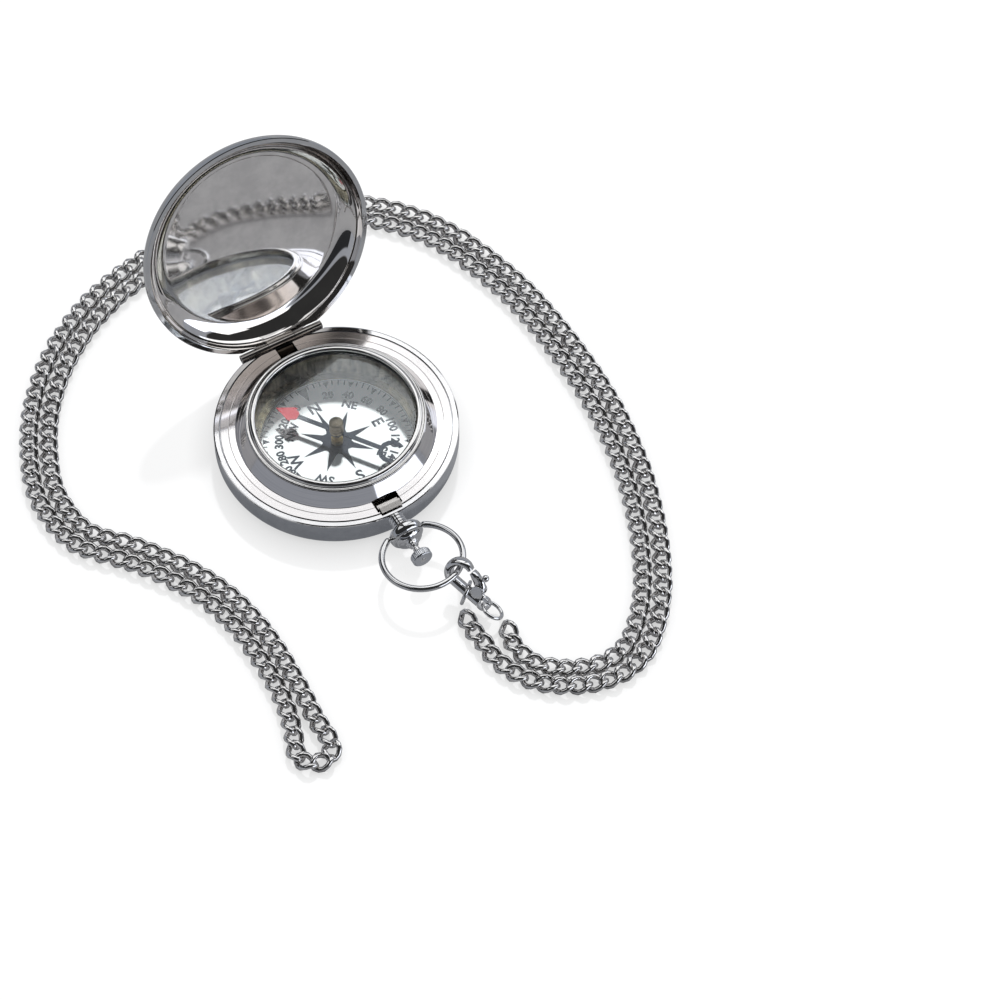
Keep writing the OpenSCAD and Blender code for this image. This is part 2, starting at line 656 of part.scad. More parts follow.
module plate_screws() {
  color("gold") for (s = [-1, 1]) screw_places(s) {
    top = plate_top_z + fit + (s < 0 ? arm_t + fit : 0);
    translate([0, 0, floor_t - screw_in + fit]) cylinder(d = screw_d - fit, h = top - floor_t + screw_in);
    translate([0, 0, top]) cylinder(d = screw_head_d, h = screw_head_h);
  }
}

// The pendant runs out from the case along -Y
module along_pendant(y) {
  translate([0, y, pendant_z]) rotate([90, 0, 0]) children();
}
module pendant_neck() {
  color("silver") along_pendant(neck_y) difference() {
    union() {
      translate([0, 0, -spigot_l]) cylinder(d = spigot_d, h = spigot_l + rib_pitch);
      translate([0, 0, fit]) cylinder(d = neck_d, h = neck_l - 2 * fit);
      for (i = [1 : rib_n]) translate([0, 0, (i - 0.5) * rib_pitch])
        cylinder(d = neck_d + 2 * rib_h, h = rib_pitch / 2);
    }
    translate([0, 0, -case_r]) cylinder(r = stem_bore_r, h = 2 * case_r);
  }
}
module pendant_bead() {
  color("gainsboro") difference() {
    along_pendant(bead_y) rotate([0, 0, 45]) rotate_extrude() polygon(concat([[0, 0]],
      [for (p = bead_shares) [p.y * bead_r, p.x * bead_l]], [[0, bead_l]]));
    along_pendant(bead_y + over) cylinder(r = stem_bore_r, h = bead_l + 2 * over);
    along_pendant(spring_room_y + spring_room_l) cylinder(d = spring_room_d, h = spring_room_l);
    for (s = [-1, 1]) translate([s * (bow_pin_in - fit), bow_y, pendant_z]) rotate([0, s * 90, 0])
      cylinder(r = bow_pin_r + fit, h = bead_r);
  }
}
module crown() {
  color("gainsboro") along_pendant(crown_y) rotate_extrude() polygon([[stem_d / 2 + fit, 0], [crown_d / 2 - crown_round, 0],
    [crown_d / 2, crown_round], [crown_d / 2, crown_t - crown_round], [crown_d / 2 - crown_round, crown_t],
    [0, crown_t], [0, crown_t / 2], [stem_d / 2 + fit, crown_t / 2]]);
}
module crown_stem() {
  color("silver") {
    along_pendant(stem_end_y) cylinder(d = stem_d, h = stem_end_y - crown_y + crown_t / 2 - fit);
    along_pendant(spring_room_y + collar_l) cylinder(d = collar_d, h = collar_l - fit);
  }
}
module crown_spring() {
  color("gray") along_pendant(spring_room_y + spring_room_l - fine_wire_d / 2 - fit)
    coil(collar_d - fine_wire_d, spring_room_l - collar_l - crown_travel - fine_wire_d - 3 * fit, spring_turns);
}

// The bow, hung on the bead
module on_bow() {
  translate([0, bow_y, pendant_z]) rotate([-bow_tilt, 0, 0]) children();
}
module bow() {
  color("gainsboro") on_bow() {
    translate([0, -bow_off, 0]) rotate([0, 0, 90 + bow_end_a])
      rotate_extrude(angle = 360 - 2 * bow_end_a) translate([bow_r, 0]) circle(r = bow_wire_r, $fn = 32);
    for (s = [-1, 1]) {
      translate([s * bow_pin_in, 0, 0]) rotate([0, s * 90, 0])
        cylinder(r = bow_pin_r, h = bow_r * sin(bow_end_a) - bow_pin_in);
      translate([s * bow_r * sin(bow_end_a), 0, 0]) sphere(r = bow_wire_r + fit, $fn = 32);
    }
  }
}

// The clasp, with the wire of the bow at its origin
module on_clasp() {
  on_bow() translate([bow_r * cos(clasp_at_a), bow_r * sin(clasp_at_a) - bow_off, 0])
    rotate([0, clasp_tilt, clasp_az]) rotate([clasp_roll, 0, 0]) children();
}
module flat(t) {
  rotate([90, 0, 0]) linear_extrude(t, center = true) children();
}
module clasp_outline() {
  difference() {
    polygon(tangent_hull(hook_x, hook_r, clasp_l, clasp_eye_d / 2, outline_n));
    polygon(tangent_hull(hook_x, window_r, window_end_x, window_end_r, outline_n));
  }
}
module clasp_body() {
  color("gainsboro") on_clasp() difference() {
    flat(clasp_t) clasp_outline();
    flat(clasp_t + over) translate([gate_from_x, gate_z]) square([lever_x - gate_from_x + run, hook_r]);
    flat(lever_t + 2 * run) translate([lever_x, lever_z]) circle(r = lever_r + run);
    for (s = [-1, 1]) translate([eye_from_x, s * clasp_t / 2 - (s > 0 ? (clasp_t - clasp_eye_t) / 2 : 0), -hook_r])
      cube([clasp_l, (clasp_t - clasp_eye_t) / 2, 2 * hook_r]);
    translate([clasp_l, 0, 0]) rotate([90, 0, 0]) cylinder(d = clasp_hole_d, h = clasp_t + over, center = true);
    translate([lever_x, 0, lever_z]) rotate([90, 0, 0]) cylinder(d = clasp_rivet_d + fit, h = clasp_t + over, center = true);
  }
}
module clasp_lever() {
  color("silver") on_clasp() {
    difference() {
      union() {
        flat(lever_t) intersection() {
          clasp_outline();
          polygon([[gate_from_x + run, gate_z + run], [lever_x, gate_z + run], [lever_x, hook_r], [gate_from_x + gate_slant, hook_r]]);
        }
        flat(lever_t) translate([lever_x, lever_z]) circle(r = lever_r);
      }
      translate([lever_x, 0, lever_z]) rotate([90, 0, 0]) cylinder(d = clasp_rivet_d + 2 * fit, h = clasp_t, center = true);
    }
    translate([ball_x, 0, hook_r / 2 + gate_z]) cylinder(d = ball_neck_d, h = ball_z - hook_r / 2 - gate_z);
    translate([ball_x, 0, ball_z]) sphere(d = clasp_ball_d, $fn = 48);
  }
}
module clasp_rivet() {
  color("gray") on_clasp() translate([lever_x, 0, lever_z]) rotate([90, 0, 0])
    cylinder(d = clasp_rivet_d, h = clasp_t - fit, center = true);
}
module clasp_spring() {
  color("gray") on_clasp() translate([window_end_x - window_end_r, 0, -window_end_r * 0.4]) rotate([0, 90, 0])
    coil(clasp_spring_d, window_end_r, 2);
}
module loop(d) {
  rotate_extrude() translate([d / 2, 0]) circle(d = loop_wire_d, $fn = 32);
}
module clasp_loop() {
  color("silver") on_clasp() translate([clasp_l, 0, 0]) rotate([0, -loop_tilt, 0])
    translate([clasp_loop_d / 2, 0, 0]) loop(clasp_loop_d);
}
module end_loop() {
  color("silver") on_clasp() translate(end_loop_at) rotate([0, end_loop_lean, end_loop_turn]) loop(end_loop_d);
}

// Chain route: a smooth curve through the points, its two sides, and the turn at the far end
function curve(p, i, t) =
  let (a = p[max(i - 1, 0)], b = p[i], c = p[i + 1], d = p[min(i + 2, len(p) - 1)])
  0.5 * (2 * b + (c - a) * t + (2 * a - 5 * b + 4 * c - d) * t * t + (3 * b - a - 3 * c + d) * t * t * t);
function smooth(p) = concat([for (i = [0 : len(p) - 2]) for (k = [0 : route_steps - 1]) curve(p, i, k / route_steps)],
  [p[len(p) - 1]]);
middle = smooth(chain_route);
function across(i) = let (d = middle[min(i + 1, len(middle) - 1)] - middle[max(i - 1, 0)], v = unit([d.x, d.y])) [-v.y, v.x];
function strand(side) = [for (i = [0 : len(middle) - 1]) [middle[i].x, middle[i].y] + side * middle[i].z * across(i)];
last_i = len(middle) - 1;
turn_r = middle[last_i].z;
turn_at = [middle[last_i].x, middle[last_i].y];
turn_a = atan2(across(last_i).y, across(last_i).x);
path = concat(smooth(concat(right_start, [strand(1)[0]])), [for (i = [1 : last_i]) strand(1)[i]],
  [for (k = [1 : turn_steps - 1]) let (a = turn_a - 180 * k / turn_steps) turn_at + turn_r * [cos(a), sin(a)]],
  [for (i = [last_i : -1 : 1]) strand(-1)[i]], smooth([strand(-1)[0], left_start[1], left_start[0]]));
function lengths(p) = [for (i = 0, s = 0; i < len(p); i = i + 1, s = s + (i < len(p) ? norm(p[i] - p[i - 1]) : 0)) s];
along = lengths(path);
xs = [for (i = [0 : len(path) - 1]) [along[i], path[i].x]];
ys = [for (i = [0 : len(path) - 1]) [along[i], path[i].y]];
function at(s) = [lookup(s, xs), neck_y + lookup(s, ys), link_z];
chain_l = along[len(along) - 1];
link_n = floor((chain_l - link_l) / link_pitch) + 1;
echo(chain_length = chain_l, links = link_n);

// One link: two half rounds and two straight sides, in the xy plane
module link() {
  r = (link_w - chain_wire_d) / 2;
  side_l = link_l - chain_wire_d - 2 * r;
  for (s = [-1, 1]) {
    translate([s * side_l / 2, 0, 0]) rotate([0, 0, -s * 90])
      rotate_extrude(angle = 180, $fn = 48) translate([r, 0]) circle(d = chain_wire_d, $fn = 24);
    translate([-side_l / 2, s * r, 0]) rotate([0, 90, 0]) cylinder(d = chain_wire_d, h = side_l, $fn = 24);
  }
}
// A quarter of the chain, link by link
module chain(quarter) {
  from = floor(link_n * quarter / 4);
  to = floor(link_n * (quarter + 1) / 4) - 1;
  for (i = [from : to]) {
    s = link_l / 2 + i * link_pitch;
    d = at(s + link_pitch / 2) - at(s - link_pitch / 2);
    translate(at(s)) rotate([0, 0, atan2(d.y, d.x)]) rotate([i % 2 == 0 ? link_lean : -link_lean, 0, 0]) link();
  }
}
module chain_right_near() { color("silver") chain(0); }
module chain_right_far() { color("silver") chain(1); }
module chain_left_far() { color("silver") chain(2); }
module chain_left_near() { color("silver") chain(3); }

case_back();
top_ring();
bezel();
crystal();
crystal_gasket();
dial_tube();
dial();
dial_pad();
dial_ring();
pivot();
needle();
needle_cap();
needle_jewel();
lid();
lid_knuckle();
case_knuckles();
hinge_pin();
lift_arm();
lift_pin();
lift_bracket();
lift_spring();
catch();
catch_plate();
catch_spring();
plate_screws();
pendant_neck();
pendant_bead();
crown();
crown_stem();
crown_spring();
bow();
clasp_body();
clasp_lever();
clasp_rivet();
clasp_spring();
clasp_loop();
end_loop();
chain_right_near();
chain_right_far();
chain_left_far();
chain_left_near();
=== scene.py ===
# Pocket compass with a hinged lid, a turned pendant, bow, claw clasp and a doubled curb chain.
from math import atan2, copysign, cos, pi, radians, sin
import bpy, bmesh
from mathutils import Matrix, Vector


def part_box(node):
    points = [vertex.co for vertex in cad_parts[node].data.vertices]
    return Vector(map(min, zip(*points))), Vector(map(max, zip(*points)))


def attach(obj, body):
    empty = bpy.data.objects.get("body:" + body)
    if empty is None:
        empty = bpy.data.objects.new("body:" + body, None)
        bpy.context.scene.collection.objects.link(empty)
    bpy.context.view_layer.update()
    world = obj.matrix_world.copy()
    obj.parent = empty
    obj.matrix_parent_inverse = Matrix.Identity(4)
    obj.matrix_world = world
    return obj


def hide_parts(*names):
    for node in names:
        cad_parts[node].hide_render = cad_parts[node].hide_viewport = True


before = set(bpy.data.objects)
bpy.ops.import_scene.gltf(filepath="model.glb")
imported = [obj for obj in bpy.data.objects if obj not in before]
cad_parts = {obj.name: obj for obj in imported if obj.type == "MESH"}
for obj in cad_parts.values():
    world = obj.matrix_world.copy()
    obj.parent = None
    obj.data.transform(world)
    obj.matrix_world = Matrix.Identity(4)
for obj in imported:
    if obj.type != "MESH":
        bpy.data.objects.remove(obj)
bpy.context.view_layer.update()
MM = 0.001
TAU = 2 * pi


def moved(x, y, z):
    """A shift in millimetres."""
    return Matrix.Translation((x, y, z))


def turned(degrees, axis):
    """A turn about one axis."""
    return Matrix.Rotation(radians(degrees), 4, axis)


def add_object(name, data):
    """A new object in the scene."""
    thing = bpy.data.objects.new(name, data)
    bpy.context.scene.collection.objects.link(thing)
    return thing


# -------------------- camera
# Fitted to the rims of the case, bezel, dial and lid in the photograph. Lengths are in millimetres
CAMERA_AZIMUTH = radians(-29.461)
CAMERA_ELEVATION = radians(55.956)
CAMERA_DISTANCE = 764.33
CAMERA_TARGET = Vector((22.496, -27.909, 0))
CAMERA_FOCAL = 3.76288
SENSOR_WIDTH = 36
PHOTO_SIZE = 1000

level = cos(CAMERA_ELEVATION)
back = Vector((sin(CAMERA_AZIMUTH) * level, -cos(CAMERA_AZIMUTH) * level, sin(CAMERA_ELEVATION)))
right = Vector((cos(CAMERA_AZIMUTH), sin(CAMERA_AZIMUTH), 0))
camera_data = bpy.data.cameras.new("camera")
camera_data.sensor_width = SENSOR_WIDTH
camera_data.lens = SENSOR_WIDTH * CAMERA_FOCAL
camera_data.clip_start = 0.01
camera_data.clip_end = 20
camera = add_object("camera", camera_data)
camera.matrix_world = Matrix.Translation((CAMERA_TARGET + CAMERA_DISTANCE * back) * MM) @ Matrix(
    (right, back.cross(right), back)).transposed().to_4x4()
bpy.context.scene.camera = camera
bpy.context.scene.view_settings.view_transform = "Standard"


# -------------------- finishes
class Value:
    """A number socket. The usual signs add its Math nodes."""

    def __init__(self, finish, socket):
        self.finish, self.socket = finish, socket

    def math(self, operation, *others):
        return self.finish.add("Math", {"operation": operation},
                               dict(enumerate([self, *others])))

    def __add__(self, other): return self.math("ADD", other)
    def __radd__(self, other): return self.math("ADD", other)
    def __sub__(self, other): return self.math("SUBTRACT", other)
    def __rsub__(self, other): return self.finish.add("Math", {"operation": "SUBTRACT"}, {0: other, 1: self})
    def __mul__(self, other): return self.math("MULTIPLY", other)
    def __truediv__(self, other): return self.math("DIVIDE", other)
    def __pow__(self, other): return self.math("POWER", other)
    def __gt__(self, other): return self.math("GREATER_THAN", other)

    def step(self, start, end, low=0.0, high=1.0):
        """From low to high between start and end, with soft ends."""
        return self.finish.add("MapRange", {"interpolation_type": "SMOOTHSTEP"},
                               {"Value": self, "From Min": start, "From Max": end, "To Min": low, "To Max": high})


class Finish:
    """A procedural material, or a world, built node by node."""

    def __init__(self, name, owner=bpy.data.materials):
        self.material = owner.new(name)
        self.material.use_nodes = True
        self.tree = self.material.node_tree
        self.tree.nodes.clear()
        self.place = None

    def add(self, kind, settings=None, sockets=None, output=0):
        """One shader node: its settings first, then the values or links of its sockets."""
        node = self.tree.nodes.new("ShaderNode" + kind)
        for key, value in (settings or {}).items():
            setattr(node, key, value)
        for key, value in (sockets or {}).items():
            socket = node.inputs[key]
            if isinstance(value, Value):
                self.tree.links.new(value.socket, socket)
            else:
                socket.default_value = (*value, 1) if socket.type == "RGBA" else value
        return Value(self, node.outputs[output]) if node.outputs else None

    def at(self, turn=(0, 0, 0), shift=(0, 0, 0), scale=(1000, 1000, 1000)):
        """Object coordinates in millimetres, shifted and turned."""
        if self.place is None:
            self.place = self.add("TexCoord", output=3)
        moved = self.add("Mapping", {"vector_type": "POINT"},
                         {"Vector": self.place, "Location": tuple(-s for s in shift), "Scale": scale})
        if not any(turn):
            return moved
        return self.add("Mapping", {"vector_type": "POINT"}, {"Vector": moved, "Rotation": turn})

    def parts(self, vector):
        """The x, y and z numbers of a vector."""
        node = self.add("SeparateXYZ", None, {"Vector": vector}).socket.node
        return [Value(self, node.outputs[i]) for i in range(3)]

    def joined(self, x, y, z=0.0):
        """A vector of three numbers."""
        return self.add("CombineXYZ", None, {"X": x, "Y": y, "Z": z})

    def noise(self, vector, scale, detail=3, roughness=0.5):
        return self.add("TexNoise", None,
                        {"Vector": vector, "Scale": scale, "Detail": detail, "Roughness": roughness})

    def mix(self, factor, a, b):
        """From colour a at 0 to colour b at 1."""
        node = self.tree.nodes.new("ShaderNodeMix")
        node.data_type = "RGBA"
        for index, value in ((0, factor), (6, a), (7, b)):
            if isinstance(value, Value):
                self.tree.links.new(value.socket, node.inputs[index])
            else:
                node.inputs[index].default_value = value if index == 0 else (*value, 1)
        return Value(self, node.outputs[2])

    def bump(self, height, strength, distance=0.00005):
        return self.add("Bump", None, {"Height": height, "Strength": strength, "Distance": distance})

    def surface(self, sockets):
        """Ends the material in a Principled shader."""
        return self.ended(self.add("BsdfPrincipled", None, sockets))

    def ended(self, shader):
        self.add("OutputMaterial", None, {"Surface": shader})
        return self.material


def around(finish, vector):
    """Distance from the z axis, angle about it as a share of a turn, and height."""
    x, y, z = finish.parts(vector)
    return (x * x + y * y) ** 0.5, x.math("ARCTAN2", y) / TAU, z


def polished(name, light, dark, rough=0.07, smudge=0.05):
    """Polished plate: a clear mirror with faint smudges, hairlines and a little colour drift."""
    f = Finish(name)
    place = f.at()
    drift = f.noise(place, 0.12)
    smudges = f.noise(place, 0.5, 5, 0.6).step(0.45, 0.7)
    lines = f.noise(f.at(scale=(150, 9000, 2500)), 1, 2).step(0.6, 0.75)
    colour = f.mix(drift.step(0.3, 0.7), light, dark)
    return f.surface({
        "Base Color": colour, "Metallic": 1.0,
        "Roughness": rough + smudges * smudge + lines * 0.03,
        "Normal": f.bump(f.noise(place, 9, 2) * 0.4 + lines, 0.02)})


def turned_metal(name, light, dark, rough, pitch, depth, axis="r"):
    """Metal with the fine rings that a lathe tool leaves, across a face (r) or down a wall (z)."""
    f = Finish(name)
    place = f.at()
    r, angle, z = around(f, place)
    rings = f.noise(f.joined((r if axis == "r" else z) / pitch, angle * 6), 1, 4, 0.7)
    patch = f.noise(place, 0.25)
    return f.surface({
        "Base Color": f.mix(rings.step(0.3, 0.7), dark, light), "Metallic": 1.0,
        "Roughness": rough + patch * rough + rings * rough,
        "Normal": f.bump(rings, depth)})


def painted(name, colour, other, rough, speck=4.0, coat=0.0):
    """Paint, ink, rubber or card: two close tones in fine specks, with a light grain."""
    f = Finish(name)
    specks = f.noise(f.at(), speck, 4, 0.65)
    return f.surface({
        "Base Color": f.mix(specks.step(0.35, 0.65), colour, other),
        "Roughness": rough + specks * 0.12 - 0.06, "Coat Weight": coat, "Coat Roughness": 0.1,
        "Normal": f.bump(specks, 0.05)})


HINGE_Y, HINGE_Z, LID_OPEN = 24.15, 7.65, 108.3
NEEDLE_BEARING, ARROW_START = 36, 8.75
PLATE_LIGHT, PLATE_DARK = (0.66, 0.655, 0.65), (0.57, 0.57, 0.575)
bezel_plate = turned_metal("bezel_plate", (0.68, 0.665, 0.65), (0.6, 0.59, 0.58), 0.02, 0.3, 0.005)
lid_outside = polished("lid_outside", PLATE_LIGHT, PLATE_DARK, 0.05, 0.03)
pendant_plate = polished("pendant_plate", PLATE_LIGHT, PLATE_DARK, 0.04, 0.03)
bow_plate = polished("bow_plate", PLATE_LIGHT, PLATE_DARK, 0.05, 0.03)
clasp_plate = polished("clasp_plate", (0.74, 0.735, 0.73), (0.66, 0.655, 0.655), 0.04, 0.03)
# The crown's cooler, darker plate is painted shade: it stands in for the grey floor that the crown reflects.
crown_plate = polished("crown_plate", (0.6, 0.61, 0.63), (0.52, 0.53, 0.55), 0.05, 0.03)
hinge_plate = polished("hinge_plate", (0.42, 0.395, 0.37), (0.28, 0.26, 0.245), 0.09)
lift_steel = polished("lift_steel", (0.12, 0.095, 0.075), (0.06, 0.048, 0.04), 0.3, 0.1)
spring_steel = polished("spring_steel", (0.62, 0.61, 0.6), (0.48, 0.47, 0.46), 0.2, 0.1)
catch_steel = turned_metal("catch_steel", (0.66, 0.63, 0.6), (0.48, 0.46, 0.44), 0.2, 0.2, 0.05)
cap_brass = turned_metal("cap_brass", (0.3, 0.25, 0.19), (0.19, 0.155, 0.115), 0.2, 0.3, 0.1, "z")
plain_brass = turned_metal("plain_brass", (0.7, 0.55, 0.3), (0.5, 0.37, 0.18), 0.25, 0.2, 0.1)
dial_white = painted("dial_white", (0.94, 0.94, 0.95), (0.9, 0.905, 0.92), 0.34, 6.0, 0.25)
dial_ink = painted("dial_ink", (0.03, 0.032, 0.045), (0.05, 0.054, 0.07), 0.4, 8.0)
gasket_rubber = painted("gasket_rubber", (0.03, 0.03, 0.032), (0.05, 0.05, 0.05), 0.6)
pad_card = painted("pad_card", (0.55, 0.46, 0.34), (0.44, 0.36, 0.26), 0.85, 7.0)


def make_ring_plate():
    """Stepped ring: bright turned plate. Beside the hinge it is a little rougher, and a warm tint painted into its
    colour stands in for the reflection seen there.
    """
    f = Finish("ring_plate")
    place = f.at()
    r, angle, _ = around(f, place)
    rings = f.noise(f.joined(r * 4, angle * 6), 1, 4, 0.7)
    cloud = f.noise(place, 0.25)
    # Near the hinge: rougher plate, plus a warm colour (0.58, 0.5, 0.45) mixed in below, which is a painted reflection.
    hinge_dull_and_painted_tint = (f.parts(place)[1] + cloud * 6).step(16, 23)
    plate = f.mix(rings.step(0.3, 0.7), (0.61, 0.59, 0.585), (0.68, 0.655, 0.645))
    return f.surface({
        "Base Color": f.mix(hinge_dull_and_painted_tint * 0.7, plate, (0.58, 0.5, 0.45)), "Metallic": 1.0,
        "Roughness": 0.03 + cloud * 0.02 + hinge_dull_and_painted_tint * 0.14 + rings * 0.02,
        "Normal": f.bump(rings, 0.004)})


def make_case_plate():
    """Case: bright rim, and a rougher wall down to the edge that it lies on, with painted shade: a cooler, darker
    colour that stands in for the shaded floor it reflects.
    """
    f = Finish("case_plate")
    place = f.at()
    wall = f.parts(place)[2].step(7.25, 7.55, 1.0, 0.0)
    smudges = f.noise(place, 0.4, 4, 0.6)
    bright = f.mix(smudges.step(0.3, 0.7), (0.66, 0.65, 0.645), (0.6, 0.595, 0.6))
    # Painted shade: the wall's cooler, darker colour stands in for the shaded floor that the wall reflects.
    painted_wall_shade = f.mix(smudges.step(0.3, 0.7), (0.6, 0.61, 0.63), (0.53, 0.54, 0.565))
    return f.surface({
        "Base Color": f.mix(wall, bright, painted_wall_shade), "Metallic": 1.0,
        "Roughness": 0.04 + wall * 0.08 + smudges * 0.04,
        "Normal": f.bump(f.noise(place, 6, 2), 0.02)})


def make_tube_plate():
    """Wall round the dial: dark turned metal with streaks running down it and fine rings."""
    f = Finish("tube_plate")
    _, angle, z = around(f, f.at())
    streak = f.noise(f.joined(angle * 70, z * 0.12), 1, 3, 0.6)
    rings = f.noise(f.joined(angle * 8, z * 4), 1, 3, 0.6)
    tone = (streak * 0.7 + rings * 0.3).step(0.38, 0.62)
    return f.surface({
        "Base Color": f.mix(tone, (0.2, 0.18, 0.14), (0.62, 0.56, 0.45)), "Metallic": 1.0,
        "Roughness": 0.16 + rings * 0.12, "Normal": f.bump(rings, 0.05)})


def make_lid_inside():
    """Bright inside of the lid: pressed metal with faint clouds and fine rings, about the lid's own middle."""
    f = Finish("lid_inside")
    x, y, z = f.parts(f.at((radians(LID_OPEN), 0, 0), (0, HINGE_Y, HINGE_Z)))
    centred = f.joined(x, y + HINGE_Y, z)
    r, angle, _ = around(f, centred)
    rings = f.noise(f.joined(r * 5, angle * 10), 1, 4, 0.7)
    cloud = f.noise(centred, 0.22, 4, 0.6)
    return f.surface({
        "Base Color": f.mix(cloud.step(0.3, 0.7), (0.82, 0.79, 0.76), (0.7, 0.675, 0.655)), "Metallic": 1.0,
        "Roughness": 0.02 + cloud * 0.025 + rings * 0.015,
        "Normal": f.bump(rings * 0.3 + cloud, 0.006)})


def make_needle_paint():
    """Needle: red arrow at one end, blue-grey bar and tail."""
    f = Finish("needle_paint")
    along = f.parts(f.at((0, 0, radians(-NEEDLE_BEARING))))[1]
    specks = f.noise(f.at(), 5, 4)
    red = f.mix(specks.step(0.35, 0.65), (0.46, 0.016, 0.032), (0.38, 0.012, 0.026))
    blue = f.mix(specks.step(0.35, 0.65), (0.085, 0.092, 0.115), (0.05, 0.055, 0.07))
    arrow = along > ARROW_START
    return f.surface({
        "Base Color": f.mix(arrow, blue, red), "Metallic": 0.55 - arrow * 0.55,
        "Roughness": 0.3 + specks * 0.1, "Specular IOR Level": 0.3, "Normal": f.bump(specks, 0.04)})


def make_crystal_glass():
    """Clear glass: seen through, with a mirror that grows towards the edge and a few faint smears."""
    f = Finish("crystal_glass")
    smear = f.noise(f.at(), 0.35, 4).step(0.5, 0.75)
    clear = f.add("BsdfTransparent", None, {"Color": (0.97, 0.985, 0.98)})
    gloss = f.add("BsdfPrincipled", None, {
        "Base Color": f.mix(smear, (0.95, 0.96, 0.97), (0.9, 0.92, 0.94)), "Metallic": 1.0,
        "Roughness": 0.02 + smear * 0.02})
    mirror = f.add("Fresnel", None, {"IOR": 1.52}) * (0.32 + smear * 0.04)
    return f.ended(f.add("MixShader", None, {0: mirror, 1: clear, 2: gloss}))


def make_jewel():
    """Deep red jewel that the needle turns on."""
    f = Finish("jewel")
    cloud = f.noise(f.at(), 3)
    return f.surface({"Base Color": f.mix(cloud, (0.5, 0.02, 0.06), (0.7, 0.06, 0.12)),
                      "Roughness": 0.06 + cloud * 0.02, "Coat Weight": 0.6})


def make_chain_plate():
    """Plated curb links, bright on top, with painted shade that darkens their lower parts between the links."""
    f = Finish("chain_plate")
    place = f.at()
    drift = f.noise(place, 0.35)
    # Painted shade: the links darken towards their lower parts, down to the dark colour below.
    low = f.parts(place)[2].step(0.4, 1.9, 1.0, 0.0)
    colour = f.mix(drift.step(0.35, 0.65), (0.74, 0.725, 0.71), (0.64, 0.625, 0.615))
    return f.surface({
        "Base Color": f.mix(low * 0.8, colour, (0.16, 0.145, 0.14)), "Metallic": 1.0,
        "Roughness": 0.06 + drift * 0.05, "Normal": f.bump(f.noise(place, 8, 2), 0.02)})


ring_plate = make_ring_plate()
case_plate = make_case_plate()
tube_plate = make_tube_plate()
lid_inside = make_lid_inside()
needle_paint = make_needle_paint()
crystal_glass = make_crystal_glass()
jewel = make_jewel()
chain_plate = make_chain_plate()


# -------------------- making pieces
FINE = 192


def mesh_from(name, bm, place=Matrix()):
    """Turns a closed bmesh in millimetres into a mesh in metres, placed, with its faces outwards."""
    bmesh.ops.recalc_face_normals(bm, faces=bm.faces)
    bmesh.ops.transform(bm, matrix=Matrix.Scale(MM, 4) @ place, verts=bm.verts)
    mesh = bpy.data.meshes.new(name)
    bm.to_mesh(mesh)
    bm.free()
    return mesh


def applied(piece):
    """The shape of an object with its modifiers, as plain mesh."""
    bpy.context.view_layer.update()
    return bpy.data.meshes.new_from_object(piece.evaluated_get(bpy.context.evaluated_depsgraph_get()))


def finished(name, bm, materials, body, nodes=(), sharp=30, merge=0.004, place=Matrix()):
    """Turns a bmesh in millimetres into a piece in metres that rides on a body."""
    if merge:
        bmesh.ops.remove_doubles(bm, verts=bm.verts, dist=merge)
    return placed(name, mesh_from(name, bm, place), materials, body, nodes, sharp)


def placed(name, mesh, materials, body, nodes, sharp):
    """Makes a mesh a piece that rides on a body, and hides the solids it replaces."""
    for material in materials if isinstance(materials, (list, tuple)) else [materials]:
        mesh.materials.append(material)
    mesh.shade_smooth()
    mesh.set_sharp_from_angle(angle=radians(sharp))
    piece = add_object(name, mesh)
    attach(piece, body)
    if nodes:
        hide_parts(*nodes)
    return piece


def softened(outline, radius, steps=3):
    """A closed outline with each corner rounded."""
    out = []
    count = len(outline)
    for i, p in enumerate(outline):
        p = Vector(p)
        a, b = Vector(outline[i - 1]), Vector(outline[(i + 1) % count])
        cut = min(radius, (a - p).length * 0.45, (b - p).length * 0.45)
        start, end = p + (a - p).normalized() * cut, p + (b - p).normalized() * cut
        for k in range(steps + 1):
            t = k / steps
            q = start * (1 - t) ** 2 + p * 2 * t * (1 - t) + end * t * t
            out.append((max(q.x, 0.0), q.y))
    return out


def strip(bm, low, high):
    """The faces between two rings of corners."""
    for k in range(len(low)):
        m = (k + 1) % len(low)
        bm.faces.new((low[k], low[m], high[m], high[k]))


def skin(bm, rings):
    """Closes a bar whose cross-sections are given as rings of corners."""
    for low, high in zip(rings, rings[1:]):
        strip(bm, low, high)
    bm.faces.new(list(reversed(rings[0])))
    bm.faces.new(rings[-1])


def lathe(bm, outline, place=Matrix(), sides=128, wave=None):
    """Turns a closed outline of (radius, height) about z. wave(angle, radius) may change the radius."""
    rings = []
    for r, z in outline:
        if r < 1e-5:
            rings.append([bm.verts.new(place @ Vector((0, 0, z)))])
            continue
        ring = []
        for k in range(sides):
            a = TAU * k / sides
            q = wave(a, r) if wave else r
            ring.append(bm.verts.new(place @ Vector((q * cos(a), q * sin(a), z))))
        rings.append(ring)
    faces = []
    for i in range(len(rings)):
        low, high = rings[i], rings[(i + 1) % len(rings)]
        if len(low) == 1 and len(high) == 1:
            continue
        for k in range(sides):
            m = (k + 1) % sides
            corners = [low[k % len(low)], low[m % len(low)], high[m % len(high)], high[k % len(high)]]
            faces.append(bm.faces.new(list(dict.fromkeys(corners))))
    return faces


def lathed(name, outline, material, body, node, place=Matrix(), sides=FINE, sharp=30, wave=None):
    """A piece turned from an outline."""
    bm = bmesh.new()
    lathe(bm, outline, place, sides, wave)
    return finished(name, bm, material, body, (node,), sharp)


